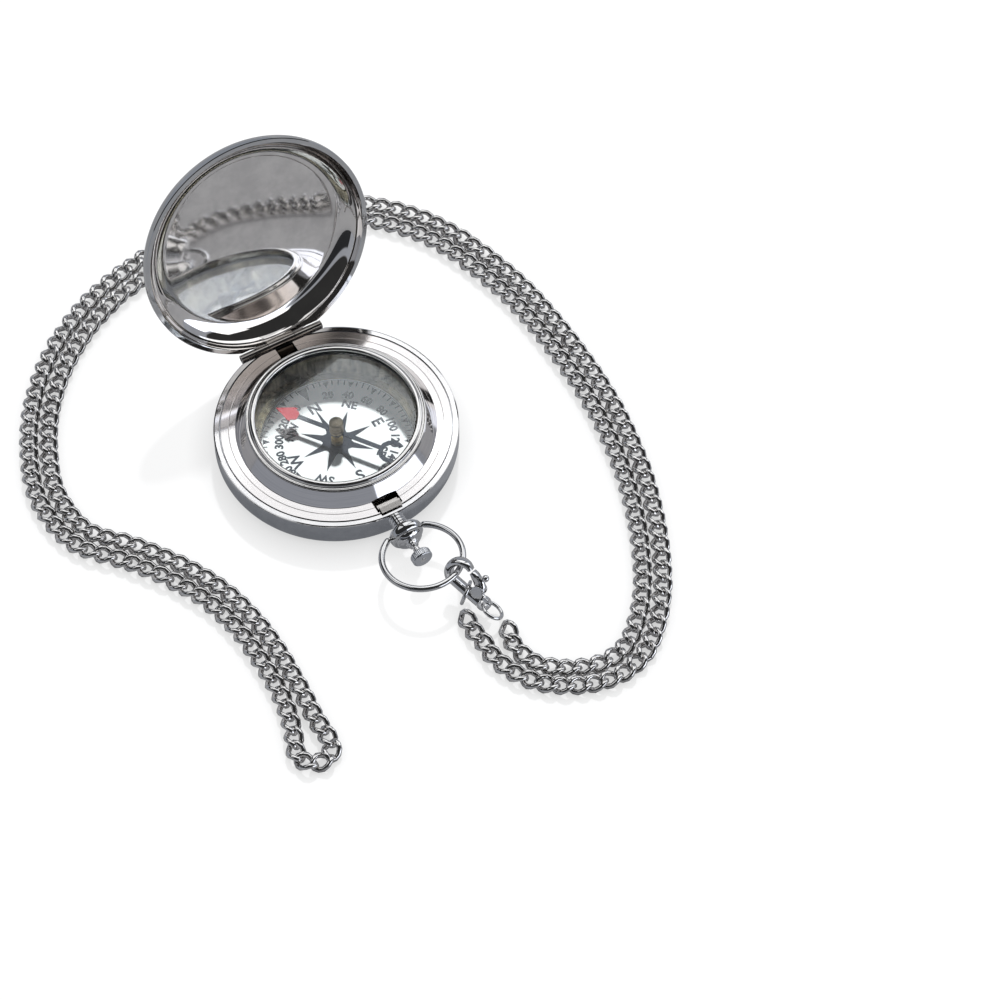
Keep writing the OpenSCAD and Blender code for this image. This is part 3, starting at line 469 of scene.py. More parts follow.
def wire(bm, points, radius, sides, closed=False, shape=None):
    """A round wire along points. shape(share) may change its radius."""
    count = len(points)
    rings = []
    side = None
    for i, p in enumerate(points):
        a = points[i - 1] if closed or i else p
        b = points[(i + 1) % count] if closed or i < count - 1 else p
        along = (b - a).normalized()
        if side is None:
            side = along.orthogonal().normalized()
        side = (side - along * side.dot(along)).normalized()
        up = along.cross(side)
        r = radius * (shape(i / (count - 1)) if shape else 1)
        rings.append([bm.verts.new(p + r * (side * cos(TAU * k / sides) + up * sin(TAU * k / sides)))
                      for k in range(sides)])
    if closed:
        for i in range(count):
            strip(bm, rings[i], rings[(i + 1) % count])
    else:
        skin(bm, rings)


def box_cut(piece, boxes, place=Matrix(), sharp=8):
    """Cuts boxes, given in millimetres and then placed, out of a piece."""
    for low, high in boxes:
        bm = bmesh.new()
        bmesh.ops.create_cube(bm, size=1)
        for v in bm.verts:
            v.co = [(low[i] + high[i]) / 2 + v.co[i] * (high[i] - low[i]) for i in range(3)]
        cut_with(piece, bm, place, sharp)


def cut_with(piece, bm, place, sharp):
    """Cuts a closed shape out of a piece. Corners above the sharp angle stay crisp."""
    cutter = add_object("cutter", mesh_from("cutter", bm, place))
    modifier = piece.modifiers.new("cut", "BOOLEAN")
    modifier.operation, modifier.solver, modifier.object = "DIFFERENCE", "EXACT", cutter
    done = applied(piece)
    piece.modifiers.clear()
    old, piece.data = piece.data, done
    done.name = piece.name
    bpy.data.objects.remove(cutter)
    bpy.data.meshes.remove(old)
    done.set_sharp_from_angle(angle=radians(sharp))


# -------------------- chain
# The middle of the doubled strands as (x, y, half of the spacing), from the pendant's foot, as in the CAD source
PENDANT_FOOT_Y = -25
CHAIN_ROUTE = [
    (5.2, -32, 2.8), (5, -36, 2.4), (7.2, -41.8, 2), (12.5, -46.6, 2), (20.5, -49.4, 2), (27.5, -48, 2),
    (33, -43.5, 2), (37.5, -38, 2), (41, -32, 2), (45.5, -22, 2), (49.5, -9, 2), (52, 6, 2),
    (52.5, 21, 2), (51.5, 37, 2), (49, 49, 2), (45, 60.5, 2), (40, 68.5, 2), (33, 75.5, 2),
    (22, 82.5, 2), (8, 86.5, 2), (-6, 86.5, 2), (-18, 84, 2), (-28, 80.5, 2), (-39, 73.5, 2),
    (-48, 64, 2), (-54, 53.5, 2), (-57.5, 42, 2), (-56, 30, 2), (-49, 21.5, 2), (-42.5, 12, 2),
    (-38, 2, 2), (-36, -9.5, 2), (-36, -22, 2), (-37, -30, 2.4), (-38, -36.5, 3.6)]
RIGHT_START = (8.1, -29.45)
LEFT_START = [(2.5, -23), (2, -28)]
ROUTE_STEPS, TURN_STEPS = 8, 10
LINK_PITCH, LINK_LENGTH = 3.2, 5.2
LINK_ROLL, LINK_SEED = radians(12), 4
CHAIN_Z = 1.574


def smooth_route(points):
    """A smooth curve through the points."""
    out = []
    for i in range(len(points) - 1):
        a, b, c, d = (Vector(points[max(0, min(i + k, len(points) - 1))]) for k in (-1, 0, 1, 2))
        for k in range(ROUTE_STEPS):
            t = k / ROUTE_STEPS
            out.append(0.5 * (2 * b + (c - a) * t + (2 * a - 5 * b + 4 * c - d) * t * t
                              + (3 * b - a - 3 * c + d) * t ** 3))
    return out + [Vector(points[-1])]


def chain_path():
    """The whole chain's line on the table, from the clasp's ring round to the ring on the bow."""
    middle = smooth_route(CHAIN_ROUTE)
    last = len(middle) - 1

    def across(i):
        run = (middle[min(i + 1, last)] - middle[max(i - 1, 0)]).to_2d().normalized()
        return Vector((-run.y, run.x))

    def strand(side):
        return [p.to_2d() + side * p.z * across(i) for i, p in enumerate(middle)]
    out, home = strand(1), strand(-1)
    start = across(last)
    angle = atan2(start.y, start.x)
    turn = [middle[last].to_2d() + middle[last].z * Vector((cos(a), sin(a)))
            for a in (angle - pi * k / TURN_STEPS for k in range(1, TURN_STEPS))]
    flat = smooth_route([RIGHT_START, out[0]]) + out[1:] + turn + home[:0:-1] + smooth_route(
        [home[0], LEFT_START[1], LEFT_START[0]])
    return [Vector((p.x, p.y + PENDANT_FOOT_Y, CHAIN_Z)) for p in flat]


def along_path(path, distances):
    """Points of a path at the given distances."""
    out, i, walked = [], 0, 0.0
    for distance in distances:
        while i < len(path) - 2 and walked + (path[i + 1] - path[i]).length < distance:
            walked += (path[i + 1] - path[i]).length
            i += 1
        step = (path[i + 1] - path[i]).length
        out.append(path[i].lerp(path[i + 1], (distance - walked) / step))
    return out


LINK_HALF, LINK_SIDE, LINK_WIRE, LINK_TWIST = 2.18, 1.52, 0.57, radians(-58)
LINK_STEPS, WIRE_SIDES = 14, 6


def curb_link():
    """One twisted oval link, its long way along x."""
    bm = bmesh.new()
    points = []
    for k in range(LINK_STEPS):
        t = TAU * k / LINK_STEPS
        x = LINK_HALF * cos(t) * (1 - 0.06 * abs(sin(2 * t)))
        y = LINK_SIDE * sin(t) * (1 + 0.05 * abs(cos(t)))
        twist = LINK_TWIST * x / LINK_HALF
        points.append(Vector((x, y * cos(twist), y * sin(twist))))
    wire(bm, points, LINK_WIRE, WIRE_SIDES, closed=True)
    mesh = mesh_from("curb_link", bm)
    mesh.shade_smooth()
    return add_object("curb_link", mesh)


def links_tree():
    """Geometry nodes: one link at each point of the line, turned along it, each with a small roll."""
    tree = bpy.data.node_groups.new("links_along_line", "GeometryNodeTree")
    for name, way, kind in (
            ("Line", "INPUT", "Geometry"), ("Link", "INPUT", "Object"), ("Roll", "INPUT", "Float"),
            ("Seed", "INPUT", "Int"), ("Plate", "INPUT", "Material"), ("Chain", "OUTPUT", "Geometry")):
        tree.interface.new_socket(name, in_out=way, socket_type="NodeSocket" + kind)

    def new(kind, **settings):
        node = tree.nodes.new(kind)
        for key, value in settings.items():
            setattr(node, key, value)
        return node
    given, result = new("NodeGroupInput").outputs, new("NodeGroupOutput")
    curve = new("GeometryNodeMeshToCurve")
    points = new("GeometryNodeCurveToPoints", mode="EVALUATED")
    shape = new("GeometryNodeObjectInfo")
    put = new("GeometryNodeInstanceOnPoints")
    roll = new("FunctionNodeRandomValue", data_type="FLOAT")
    negative = new("ShaderNodeMath", operation="MULTIPLY")
    negative.inputs[1].default_value = -1
    angle = new("FunctionNodeAxisAngleToRotation")
    angle.inputs["Axis"].default_value = (1, 0, 0)
    align = new("FunctionNodeAlignRotationToVector", axis="X")
    turn = new("FunctionNodeRotateRotation", rotation_space="LOCAL")
    real = new("GeometryNodeRealizeInstances")
    plate = new("GeometryNodeSetMaterial")
    for source, target in (
            (given["Line"], curve.inputs[0]), (curve.outputs[0], points.inputs["Curve"]),
            (points.outputs["Points"], put.inputs["Points"]), (points.outputs["Tangent"], align.inputs["Vector"]),
            (given["Link"], shape.inputs["Object"]), (shape.outputs["Geometry"], put.inputs["Instance"]),
            (given["Roll"], roll.inputs[3]), (given["Roll"], negative.inputs[0]),
            (negative.outputs[0], roll.inputs[2]), (given["Seed"], roll.inputs["Seed"]),
            (roll.outputs[1], angle.inputs["Angle"]), (align.outputs[0], turn.inputs[0]),
            (angle.outputs[0], turn.inputs[1]), (turn.outputs[0], put.inputs["Rotation"]),
            (put.outputs[0], real.inputs[0]), (real.outputs[0], plate.inputs["Geometry"]),
            (given["Plate"], plate.inputs["Material"]), (plate.outputs[0], result.inputs[0])):
        tree.links.new(source, target)
    return tree


def make_chain():
    """The chain on the table, with its line and its length."""
    path = chain_path()
    length = sum((b - a).length for a, b in zip(path, path[1:]))
    count = int((length - LINK_LENGTH) / LINK_PITCH) + 1
    centres = along_path(path, [LINK_LENGTH / 2 + i * LINK_PITCH for i in range(count)])
    line = bpy.data.meshes.new("chain_line")
    line.from_pydata([p * MM for p in centres], [(i, i + 1) for i in range(count - 1)], [])
    holder = add_object("chain_line", line)
    link = curb_link()
    tree = links_tree()
    modifier = holder.modifiers.new("links", "NODES")
    modifier.node_group = tree
    names = {item.name: item.identifier for item in tree.interface.items_tree if item.in_out == "INPUT"}
    for name, value in (("Link", link), ("Roll", LINK_ROLL), ("Seed", LINK_SEED), ("Plate", chain_plate)):
        modifier[names[name]] = value
    mesh = applied(holder)
    bpy.data.objects.remove(holder)
    bpy.data.objects.remove(link)
    mesh.name = "chain"
    mesh.materials.clear()
    chain = placed("chain", mesh, chain_plate, "case",
                   ("chain_right_near", "chain_right_far", "chain_left_far", "chain_left_near"), 80)
    return chain, path, length


chain, chain_line, chain_length = make_chain()

# -------------------- case
CASE_R, CASE_H, EDGE_R, RIM_R, LEDGE_R, LEDGE_Z, FLOOR_T = 25, 7.7, 3.7, 23.75, 23.2, 6.85, 0.9
HINGE_NOTCH = ((-9.45, 22.95, 6.75), (9.45, 26, 9))
CATCH_NOTCH = ((-2.8, -23.115, 6), (2.8, -20.2, 8.6))
LIFT_NOTCH = ((-2, 20.1, 6), (2, 26, 8))


def make_case_back():
    """Round cup with a rolled edge, a rim and a ledge for the ring."""
    arc = [(CASE_R - EDGE_R + EDGE_R * sin(a), EDGE_R - EDGE_R * cos(a))
           for a in (pi / 2 * k / 16 for k in range(17))]
    inner = EDGE_R - FLOOR_T
    inside = [(LEDGE_R - inner + inner * sin(a), EDGE_R - inner * cos(a))
              for a in (pi / 2 * k / 10 for k in range(10, -1, -1))]
    outline = [(0, 0), *arc, (CASE_R, CASE_H - 0.25), (CASE_R - 0.08, CASE_H - 0.07), (CASE_R - 0.28, CASE_H),
               (RIM_R + 0.12, CASE_H), (RIM_R, CASE_H - 0.1), (RIM_R, LEDGE_Z), (LEDGE_R, LEDGE_Z), *inside,
               (0, FLOOR_T)]
    box_cut(lathed("case_shell", outline, case_plate, "case", "case_back"), [HINGE_NOTCH])


def make_top_ring():
    """Ring from the rim in to the dial: a flat with a fine groove, and a slope up to the bezel."""
    foot, top, top_z = 20.45, 18.45, 10.5
    outline = softened([(23.6, 6.9), (23.6, 7.7), (21.95, 7.7), (21.9, 7.64), (21.85, 7.7), (foot + 0.05, 7.7),
                        (top, top_z), (17.35, top_z), (17.35, 9.65), (17.5, 9.65), (19.5, 6.9)], 0.07, 2)
    box_cut(lathed("stepped_ring", outline, ring_plate, "case", "top_ring", sharp=24),
            [HINGE_NOTCH, LIFT_NOTCH, CATCH_NOTCH])


def make_bezel():
    """Rounded ring with a bead, over the edge of the crystal."""
    inner, width, foot, height = 16.35, 2.1, 10.5, 0.98
    shares = [(0, 0.2), (0.46, 0.2), (0.46, 0.02), (1, 0.02), (1, 0.2), (0.88, 0.42), (0.74, 0.3),
              (0.64, 0.34), (0.54, 0.8), (0.34, 1), (0.12, 0.94), (0, 0.7)]
    outline = [(inner + width * x, foot + height * y) for x, y in shares]
    lathed("bezel_ring", softened(outline, 0.16, 4), bezel_plate, "case", "bezel", sharp=40)


make_case_back()
make_top_ring()
make_bezel()

# -------------------- dial print
DIAL_TOP, PRINT_GAP, PRINT_T = 1.8, 0.004, 0.012
PRINT_LOW, PRINT_HIGH = DIAL_TOP + PRINT_GAP, DIAL_TOP + PRINT_GAP + PRINT_T
DIAL_TURN = 1.2
SCALE_R, SCALE_LINE, TICK_INNER, TICK_OUTER, TICK_HALF = 15.5, 0.04, 14.35, 15.42, 0.12 / 15
LETTERS_R, LETTER, LETTER_PAIR, DEGREES_R, DEGREE = 9.6, 2.35, 1.75, 11.9, 1.62
CAPITAL_SHARE, BOLDER = 0.69, 0.095


def prism(bm, points):
    """A thin printed shape from a closed outline."""
    skin(bm, [[bm.verts.new((x, y, z)) for x, y in points] for z in (PRINT_LOW, PRINT_HIGH)])


def printed(name, bm, merge=0.0005):
    """A piece of ink on the dial."""
    return finished(name, bm, dial_ink, "case", sharp=40, merge=merge)


def polar(bearing, r):
    """A point at a bearing, clockwise from the hinge, in radians."""
    a = bearing - radians(DIAL_TURN)
    return r * sin(a), r * cos(a)


def make_rose():
    """The eight-pointed star and its hub, as one closed outline."""
    bm = bmesh.new()
    points = []
    for k in range(8):
        bearing = TAU * k / 8
        tip = 10.7 if k == 0 else 7.8
        for share, half in ((2.95, 0.36), (3.4, 0.21), (4.5, 0.125), (6.1, 0.05)):
            points.append(polar(bearing - half, share))
        points.append(polar(bearing, tip))
        for share, half in ((6.1, 0.05), (4.5, 0.125), (3.4, 0.21)):
            points.append(polar(bearing + half, share))
    prism(bm, list(reversed(points)))
    printed("dial_rose", bm)


def make_scale():
    """Ticks every 5 degrees, pointers every 20, the hinge-side arrow and the ring line."""
    bm = bmesh.new()
    for k in range(72):
        bearing = TAU * k / 72
        if k % 4:
            prism(bm, [polar(bearing + half, r) for half, r in (
                (TICK_HALF, TICK_INNER), (TICK_HALF, TICK_OUTER), (-TICK_HALF, TICK_OUTER), (-TICK_HALF, TICK_INNER))])
        else:
            tip, half = (11.75, 0.075) if k == 0 else (13.7, 0.042)
            prism(bm, [polar(bearing, tip), polar(bearing + half, 15.25), polar(bearing - half, 15.25)])
    inner, outer = SCALE_R - SCALE_LINE, SCALE_R + SCALE_LINE
    lathe(bm, [(inner, PRINT_LOW), (inner, PRINT_HIGH), (outer, PRINT_HIGH), (outer, PRINT_LOW)], sides=144)
    printed("dial_scale", bm)


def make_figures():
    """Letters of the eight winds and the degrees, as thin print."""
    whole = bmesh.new()
    words = [(word, 45 * k, LETTERS_R, LETTER if len(word) == 1 else LETTER_PAIR)
             for k, word in enumerate(("N", "NE", "E", "SE", "S", "SW", "W", "NW"))]
    words += [(str(degree), degree, DEGREES_R, DEGREE) for degree in range(20, 360, 20)]
    for word, degree, r, height in words:
        text = bpy.data.curves.new("figure", "FONT")
        text.body, text.size, text.offset = word, height / CAPITAL_SHARE, BOLDER
        text.align_x, text.align_y = "CENTER", "CENTER"
        text.extrude, text.resolution_u = PRINT_T / 2, 3
        holder = add_object("figure", text)
        mesh = applied(holder)
        xs, ys = ([v.co[i] for v in mesh.vertices] for i in (0, 1))
        middle = Vector(((min(xs) + max(xs)) / 2, (min(ys) + max(ys)) / 2, 0))
        x, y = polar(radians(degree), r)
        mesh.transform(moved(x, y, PRINT_LOW + PRINT_T / 2)
                       @ turned(DIAL_TURN - degree, "Z") @ Matrix.Translation(-middle))
        whole.from_mesh(mesh)
        bpy.data.objects.remove(holder)
        bpy.data.meshes.remove(mesh)
    printed("dial_figures", whole, 0.0002)


def make_needle_cap():
    """Grooved brass cap over the needle's jewel."""
    outline = softened([(0.5, 4.9), (1.3, 4.9), (1.3, 5.65), (1.45, 5.68), (1.45, 6.3), (1.33, 6.42), (1.33, 6.58),
                        (1.45, 6.7), (1.45, 7.35), (1.38, 7.45), (1.38, 7.58), (1.45, 7.66), (1.45, 8.5),
                        (1.3, 8.7), (0, 8.7), (0, 8.2), (0.5, 8.2)], 0.04, 1)
    lathed("brass_cap", outline, cap_brass, "needle", "needle_cap", sides=48)


make_rose()
make_scale()
make_figures()
make_needle_cap()

# -------------------- lid
OPENED = moved(0, HINGE_Y, HINGE_Z) @ turned(-LID_OPEN, "X") @ moved(0, -HINGE_Y, -HINGE_Z)
LID_R, LID_FACE_R, LID_FLAT_R, LID_H, LID_DOME, LID_STEP, LID_T = 24.65, 21.5, 18.4, 4.9, 0.45, 0.16, 0.7
LIP_H, LIP_W, LIP_Z = 0.8, 1.05, 7.8
LID_HINGE_NOTCH = ((-9.45, 22.95, 6.7), (9.45, 26, 8.85))
CATCH_POCKET = ((-2.45, -24.3, 7.9), (2.45, -22.3, 8.7))
FLAT_STEPS, CURVE_STEPS = 8, 16


def face_height(r):
    """Height of the slightly domed outside above the lip."""
    return LID_H - LID_DOME * (r / LID_FACE_R) ** 2


def make_lid():
    """Shallow cover, made closed and then opened. Its inside has a finish of its own."""
    inner_h = LID_H - LID_T
    lip_in = LID_R - LIP_W
    top = face_height(LID_FACE_R) - LID_STEP
    quarter = [pi / 2 * k / CURVE_STEPS for k in range(CURVE_STEPS + 1)]
    flat = [(LID_FLAT_R * k / FLAT_STEPS, inner_h) for k in range(FLAT_STEPS)]
    inside = [(LID_FLAT_R + (lip_in - LID_FLAT_R) * sin(a), inner_h * cos(a)) for a in quarter[:-1]]
    shoulder = [(LID_FACE_R + (LID_R - LID_FACE_R) * sin(a) ** 1.5, LIP_H + (top - LIP_H) * cos(a))
                for a in reversed(quarter)]
    face = [(r, face_height(r)) for r in ((LID_FACE_R - LID_STEP) * (1 - k / 12) for k in range(13))]
    outline = [*flat, *inside, (lip_in, 0.12), (lip_in + 0.1, 0), (LID_R - 0.14, 0), (LID_R, 0.14), *shoulder, *face]
    bm = bmesh.new()
    faces = lathe(bm, outline, OPENED @ moved(0, 0, LIP_Z), FINE)
    for i, one in enumerate(faces):
        one.material_index = 1 if i < FINE * (FLAT_STEPS + CURVE_STEPS) else 0
    piece = finished("lid_shell", bm, [lid_outside, lid_inside], "lid", ("lid",), merge=0)
    box_cut(piece, [LID_HINGE_NOTCH, CATCH_POCKET], OPENED)


make_lid()

# -------------------- pendant, crown and bow
PENDANT_Z = 6.6
NECK_START, BEAD_START, BEAD_END, CROWN_START = -25, -27.6, -32.8, -35.45
NECK_R, RIB_R, RIB_PITCH = 1.45, 1.65, 2.6 / 3.5
BEAD_R = 3.6
KNURLS, KNURL_DEPTH, KNURL_FROM = 40, 0.06, 2.05


def on_pendant(y):
    """Turns the lathe's z axis out along -Y from the case, starting at y."""
    return moved(0, y, PENDANT_Z) @ turned(90, "X")


def make_neck():
    """Tube with three ribs, from the case to the bead."""
    outline = [(0.5, -1.15), (0.75, -1.15), (0.75, 0.05), (NECK_R, 0.05)]
    for k in range(3):
        low, high = (k + 0.5) * RIB_PITCH, (k + 1) * RIB_PITCH
        outline += [(NECK_R, low), (RIB_R, low + 0.06), (RIB_R, high - 0.06), (NECK_R, high)]
    outline += [(NECK_R, 2.55), (0.5, 2.55)]
    lathed("ribbed_neck", softened(outline, 0.05, 1), pendant_plate, "case", "pendant_neck", on_pendant(NECK_START), 64)


def make_bead():
    """Turned bead with a groove, as shares of its length and radius."""
    length = BEAD_START - BEAD_END
    shares = [(0, 0.4), (0.03, 0.5), (0.1, 0.69), (0.2, 0.885), (0.28, 0.975), (0.36, 1), (0.45, 0.99), (0.54, 0.95),
              (0.6, 0.88), (0.635, 0.8), (0.645, 0.735), (0.675, 0.735), (0.685, 0.77), (0.73, 0.73), (0.79, 0.64),
              (0.84, 0.545), (0.87, 0.44), (0.88, 0.36), (0.9, 0.35), (0.97, 0.34), (1, 0.29)]
    outline = [(0.5, 0.0), *[(share * BEAD_R, z * length) for z, share in shares], (0.5, length)]
    lathed("turned_bead", outline, pendant_plate, "case", "pendant_bead", on_pendant(BEAD_START), 96, 38)


def make_crown():
    """Push crown with a knurled edge."""
    outline = softened([(0, -0.34), (0.45, -0.4), (1.85, -0.4), (2.15, -0.15), (2.15, 1.15), (1.85, 1.4), (1.2, 1.38),
                        (0, 1.4)], 0.12, 3)

    def knurl(angle, r):
        return r - (KNURL_DEPTH if r > KNURL_FROM else 0) * (0.5 + 0.5 * cos(KNURLS * angle))
    lathed("press_crown", outline, crown_plate, "crown", "crown", on_pendant(CROWN_START), 240, 50, knurl)


def make_stem():
    """Rod of the crown: a collar inside the case, thicker where it leaves the bead."""
    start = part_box("crown_stem")[1][1] / MM
    shaft = start - BEAD_END + 0.95
    outline = softened([(0, 0), (0.42, 0), (0.45, 0.05), (0.45, 9.6), (0.9, 9.62), (0.95, 9.7), (0.95, 10.2),
                        (0.9, 10.28), (0.45, 10.3), (0.45, shaft), (0.72, shaft + 0.05), (0.72, 13.9), (0.6, 14.05),
                        (0, 14.05)], 0.03, 1)
    lathed("crown_rod", outline, pendant_plate, "crown", "crown_stem", on_pendant(start), 32)


BOW_Y, BOW_TILT, BOW_R, BOW_WIRE = -29.368, -5, 8.1, 0.65
BOW_OFF = BOW_R * cos(radians(30))
ON_BOW = moved(0, BOW_Y, PENDANT_Z) @ turned(BOW_TILT, "X")


def on_ring(degrees):
    """A point of the bow's round part, in the bow's own place."""
    a = radians(degrees)
    return Vector((BOW_R * cos(a), BOW_R * sin(a) - BOW_OFF, 0))


def make_bow():
    """Round wire ring whose thinner ends turn in to the bead."""
    turn = [Vector((x, y, 0)) for x, y in ((3.95, 0.04), (3.75, 0.03), (3.4, 0), (2.4, 0))]
    points = [Vector((-p.x, p.y, 0)) for p in reversed(turn)] + [on_ring(120 + 2.5 * k) for k in range(121)] + turn
    count = len(points) - 1

    def thinner(t):
        from_end = min(t, 1 - t) * count
        return 0.75 if from_end < 2.5 else 0.9 if from_end < 3.5 else 1.0
    bm = bmesh.new()
    wire(bm, points, BOW_WIRE, 24, shape=thinner)
    finished("bow_ring", bm, bow_plate, "bow", ("bow",), sharp=60, place=ON_BOW)


make_neck()
make_bead()
make_crown()
make_stem()
make_bow()

# -------------------- clasp and its rings
ON_CLASP = ON_BOW @ Matrix.Translation(on_ring(-56)) @ turned(-74, "Z") @ turned(36, "Y") @ turned(-34, "X")
LOOP_WIRE, CLASP_RING_R, END_RING_R = 0.375, 2.2, 2.3


def ring_piece(name, node, place, radius):
    """A plain wire ring of the clasp."""
    bm = bmesh.new()
    points = [Vector((radius * cos(TAU * k / 64), radius * sin(TAU * k / 64), 0)) for k in range(64)]
    wire(bm, points, LOOP_WIRE, 16, closed=True)
    return finished(name, bm, clasp_plate, "bow", (node,), sharp=60, place=place)


def swept(bm, path, thick, wide, sides=20, power=2.5):
    """A bar along (x, z) points of the clasp, thick across its line and wide in y, from start to end."""
    last = len(path) - 1
    rings = []
    for i, (x, z) in enumerate(path):
        along = (Vector(path[min(i + 1, last)]) - Vector(path[max(i - 1, 0)])).normalized()
        across = Vector((-along.y, along.x))
        ring = []
        for k in range(sides):
            c, d = cos(TAU * k / sides), sin(TAU * k / sides)
            u = copysign(abs(c) ** (2 / power), c) * thick(i / last) / 2
            w = copysign(abs(d) ** (2 / power), d) * wide(i / last) / 2
            ring.append(bm.verts.new((x + across.x * u, w, z + across.y * u)))
        rings.append(ring)
    skin(bm, rings)


def blend(*pairs):
    """A smooth value through (share, value) pairs."""
    def value(t):
        for (a, u), (b, v) in zip(pairs, pairs[1:]):
            if t <= b:
                k = (t - a) / (b - a)
                return u + (v - u) * k * k * (3 - 2 * k)
        return pairs[-1][1]
    return value


def drum(bm, x, z, y_from, y_to, radius, sides=32):
    """A round boss or hole across the clasp."""
    lathe(bm, [(0, y_from), (radius, y_from), (radius, y_to), (0, y_to)], moved(x, 0, z) @ turned(-90, "X"), sides)


def cast(name, node, body, bm, voxel, rounds):
    """Joins the parts of a casting into one smooth skin."""
    piece = add_object(name, mesh_from(name, bm, ON_CLASP))
    remesh = piece.modifiers.new("remesh", "REMESH")
    remesh.mode, remesh.voxel_size = "VOXEL", voxel * MM
    smooth = piece.modifiers.new("smooth", "SMOOTH")
    smooth.factor, smooth.iterations = 0.6, rounds
    done = applied(piece)
    bpy.data.objects.remove(piece)
    done.materials.clear()
    done.name = name
    return placed(name, done, clasp_plate, body, (node,), 60)


HOOK_X, HOOK_R, HOOK_START, HOOK_SWEEP, EYE_X = 0.65, 2.45, 73, 186, 8.3
PIVOT_X, PIVOT_Z, BALL_X, BALL_Z, BALL_R = 5.6, 0.95, 4.4, 3.8, 0.75
LEVER_SLOT = ((PIVOT_X - 1.5, -0.89, 0.05), (PIVOT_X + 1.1, 0.89, 2.25))
LEVER_LINE = [(1.85, 2.36), (2.35, 2.37), (2.9, 2.32), (3.6, 2.22), (4.3, 2.07), (5.0, 1.9), (5.7, 1.75), (6.35, 1.68)]


def make_claw():
    """Body of the clasp: hook, spine, cheeks for the lever and the eye."""
    bm = bmesh.new()
    arc = [(HOOK_X + HOOK_R * cos(a), HOOK_R * sin(a))
           for a in (radians(HOOK_START + HOOK_SWEEP * k / 30) for k in range(31))]
    end, tail = Vector(arc[-1]), Vector((7.6, -0.55))
    spine = [tuple(end.lerp(tail, k / 10)) for k in range(1, 11)]
    swept(bm, arc + spine, blend((0, 1.2), (0.12, 1.5), (0.5, 1.7), (1, 1.9)),
          blend((0, 2.1), (0.25, 2.8), (1, 2.7)))
    swept(bm, [(4.9 + 0.34 * k, -0.45 + 0.045 * k) for k in range(11)], blend((0, 2.0), (0.3, 2.7), (1, 2.9)),
          blend((0, 2.1), (0.5, 2.1), (0.8, 1.4), (1, 1.35)))
    drum(bm, EYE_X, 0, -0.66, 0.66, 1.5)
    for low, high in ((-1.3, -0.86), (0.86, 1.3)):
        drum(bm, PIVOT_X, PIVOT_Z, low, high, 1.3)
    piece = cast("claw", "clasp_body", "bow", bm, 0.09, 6)
    hole = bmesh.new()
    drum(hole, EYE_X, 0, -2, 2, 0.85)
    cut_with(piece, hole, ON_CLASP, 30)
    box_cut(piece, [LEVER_SLOT], ON_CLASP, 30)
    return piece


def make_claw_lever():
    """Lever of the clasp, with the ball that the thumb pulls."""
    bm = bmesh.new()
    swept(bm, LEVER_LINE, blend((0, 1.15), (0.3, 1.75), (0.62, 2.35), (0.85, 1.8), (1, 0.9)),
          blend((0, 2.2), (0.3, 2.3), (0.5, 1.6), (1, 1.6)))
    drum(bm, PIVOT_X, PIVOT_Z, -0.8, 0.8, 0.85)
    post = moved(BALL_X, 0, 0)
    lathe(bm, [(0, 2.0), (0.42, 2.0), (0.36, 2.7), (0.36, 3.4), (0, 3.4)], post, 20)
    lathe(bm, [(BALL_R * sin(a), BALL_Z - BALL_R * cos(a)) for a in (pi * k / 12 for k in range(13))],
          post, 24)
    return cast("claw_lever", "clasp_lever", "clasp_lever", bm, 0.06, 4)


claw = make_claw()
claw_lever = make_claw_lever()
clasp_ring = ring_piece("clasp_ring", "clasp_loop",
                        ON_CLASP @ moved(EYE_X, 0, 0) @ turned(-16, "Y") @ moved(CLASP_RING_R, 0, 0), CLASP_RING_R)
end_ring = ring_piece("end_ring", "end_loop",
                      ON_CLASP @ moved(4.6, 0.15, -1.9) @ turned(14, "Z") @ turned(62, "Y"), END_RING_R)

# -------------------- carried-over CAD pieces
KEPT = {
    "crystal": crystal_glass, "crystal_gasket": gasket_rubber, "dial_tube": tube_plate, "dial": dial_white,
    "dial_pad": pad_card, "dial_ring": tube_plate, "pivot": plain_brass, "plate_screws": plain_brass,
    "needle": needle_paint, "needle_jewel": jewel, "lid_knuckle": hinge_plate, "case_knuckles": hinge_plate,
    "lift_arm": lift_steel, "catch": catch_steel, "catch_plate": catch_steel,
    **dict.fromkeys(("hinge_pin", "lift_pin", "lift_bracket", "lift_spring", "catch_spring", "crown_spring",
                     "clasp_rivet", "clasp_spring"), spring_steel)}
for node, material in KEPT.items():
    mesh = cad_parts[node].data
    if not mesh.materials:
        mesh.materials.append(material)
    for i in range(len(mesh.materials)):
        mesh.materials[i] = material

chain_line[0] * MM
chain_length * MM
[p * MM for p in chain_line]

# -------------------- studio
# Panels that the metal mirrors, in degrees: bearing from the front (-Y) towards +X, from and to, then height
DARK_FRONT = (-63, 6, -4, 12.5)
CRYSTAL_SKY = (118, 181, 27, 79)
PANELS = [((9, 60, -6, 16), 2.0), ((6, 30, 16, 25), 1.8), ((30, 50, 16, 30), 1.8), ((84, 112, 12, 62), 1.5),
          ((84, 117, 62, 84, 2), 0.9), ((-152, -108, 42, 76), 1.0)]
# Pixels of the photograph at which the corners of a bright window show in the crystal
WINDOW_LEFT, WINDOW_TOP_LEFT, WINDOW_TOP_RIGHT, WINDOW_RIGHT = (258, 429), (339, 353), (359, 353), (397, 385)
WINDOW_FOOT_LEFT, WINDOW_FOOT_MIDDLE, WINDOW_FOOT_RIGHT = (262, 446), (338, 403), (405, 437)
WINDOW_EDGE = 1.2
FLOOR_SEEN, FLOOR_MIRRORED, FLOOR_TWICE, FLOOR_NEAR = 0.93, 0.26, 0.5, 0.007


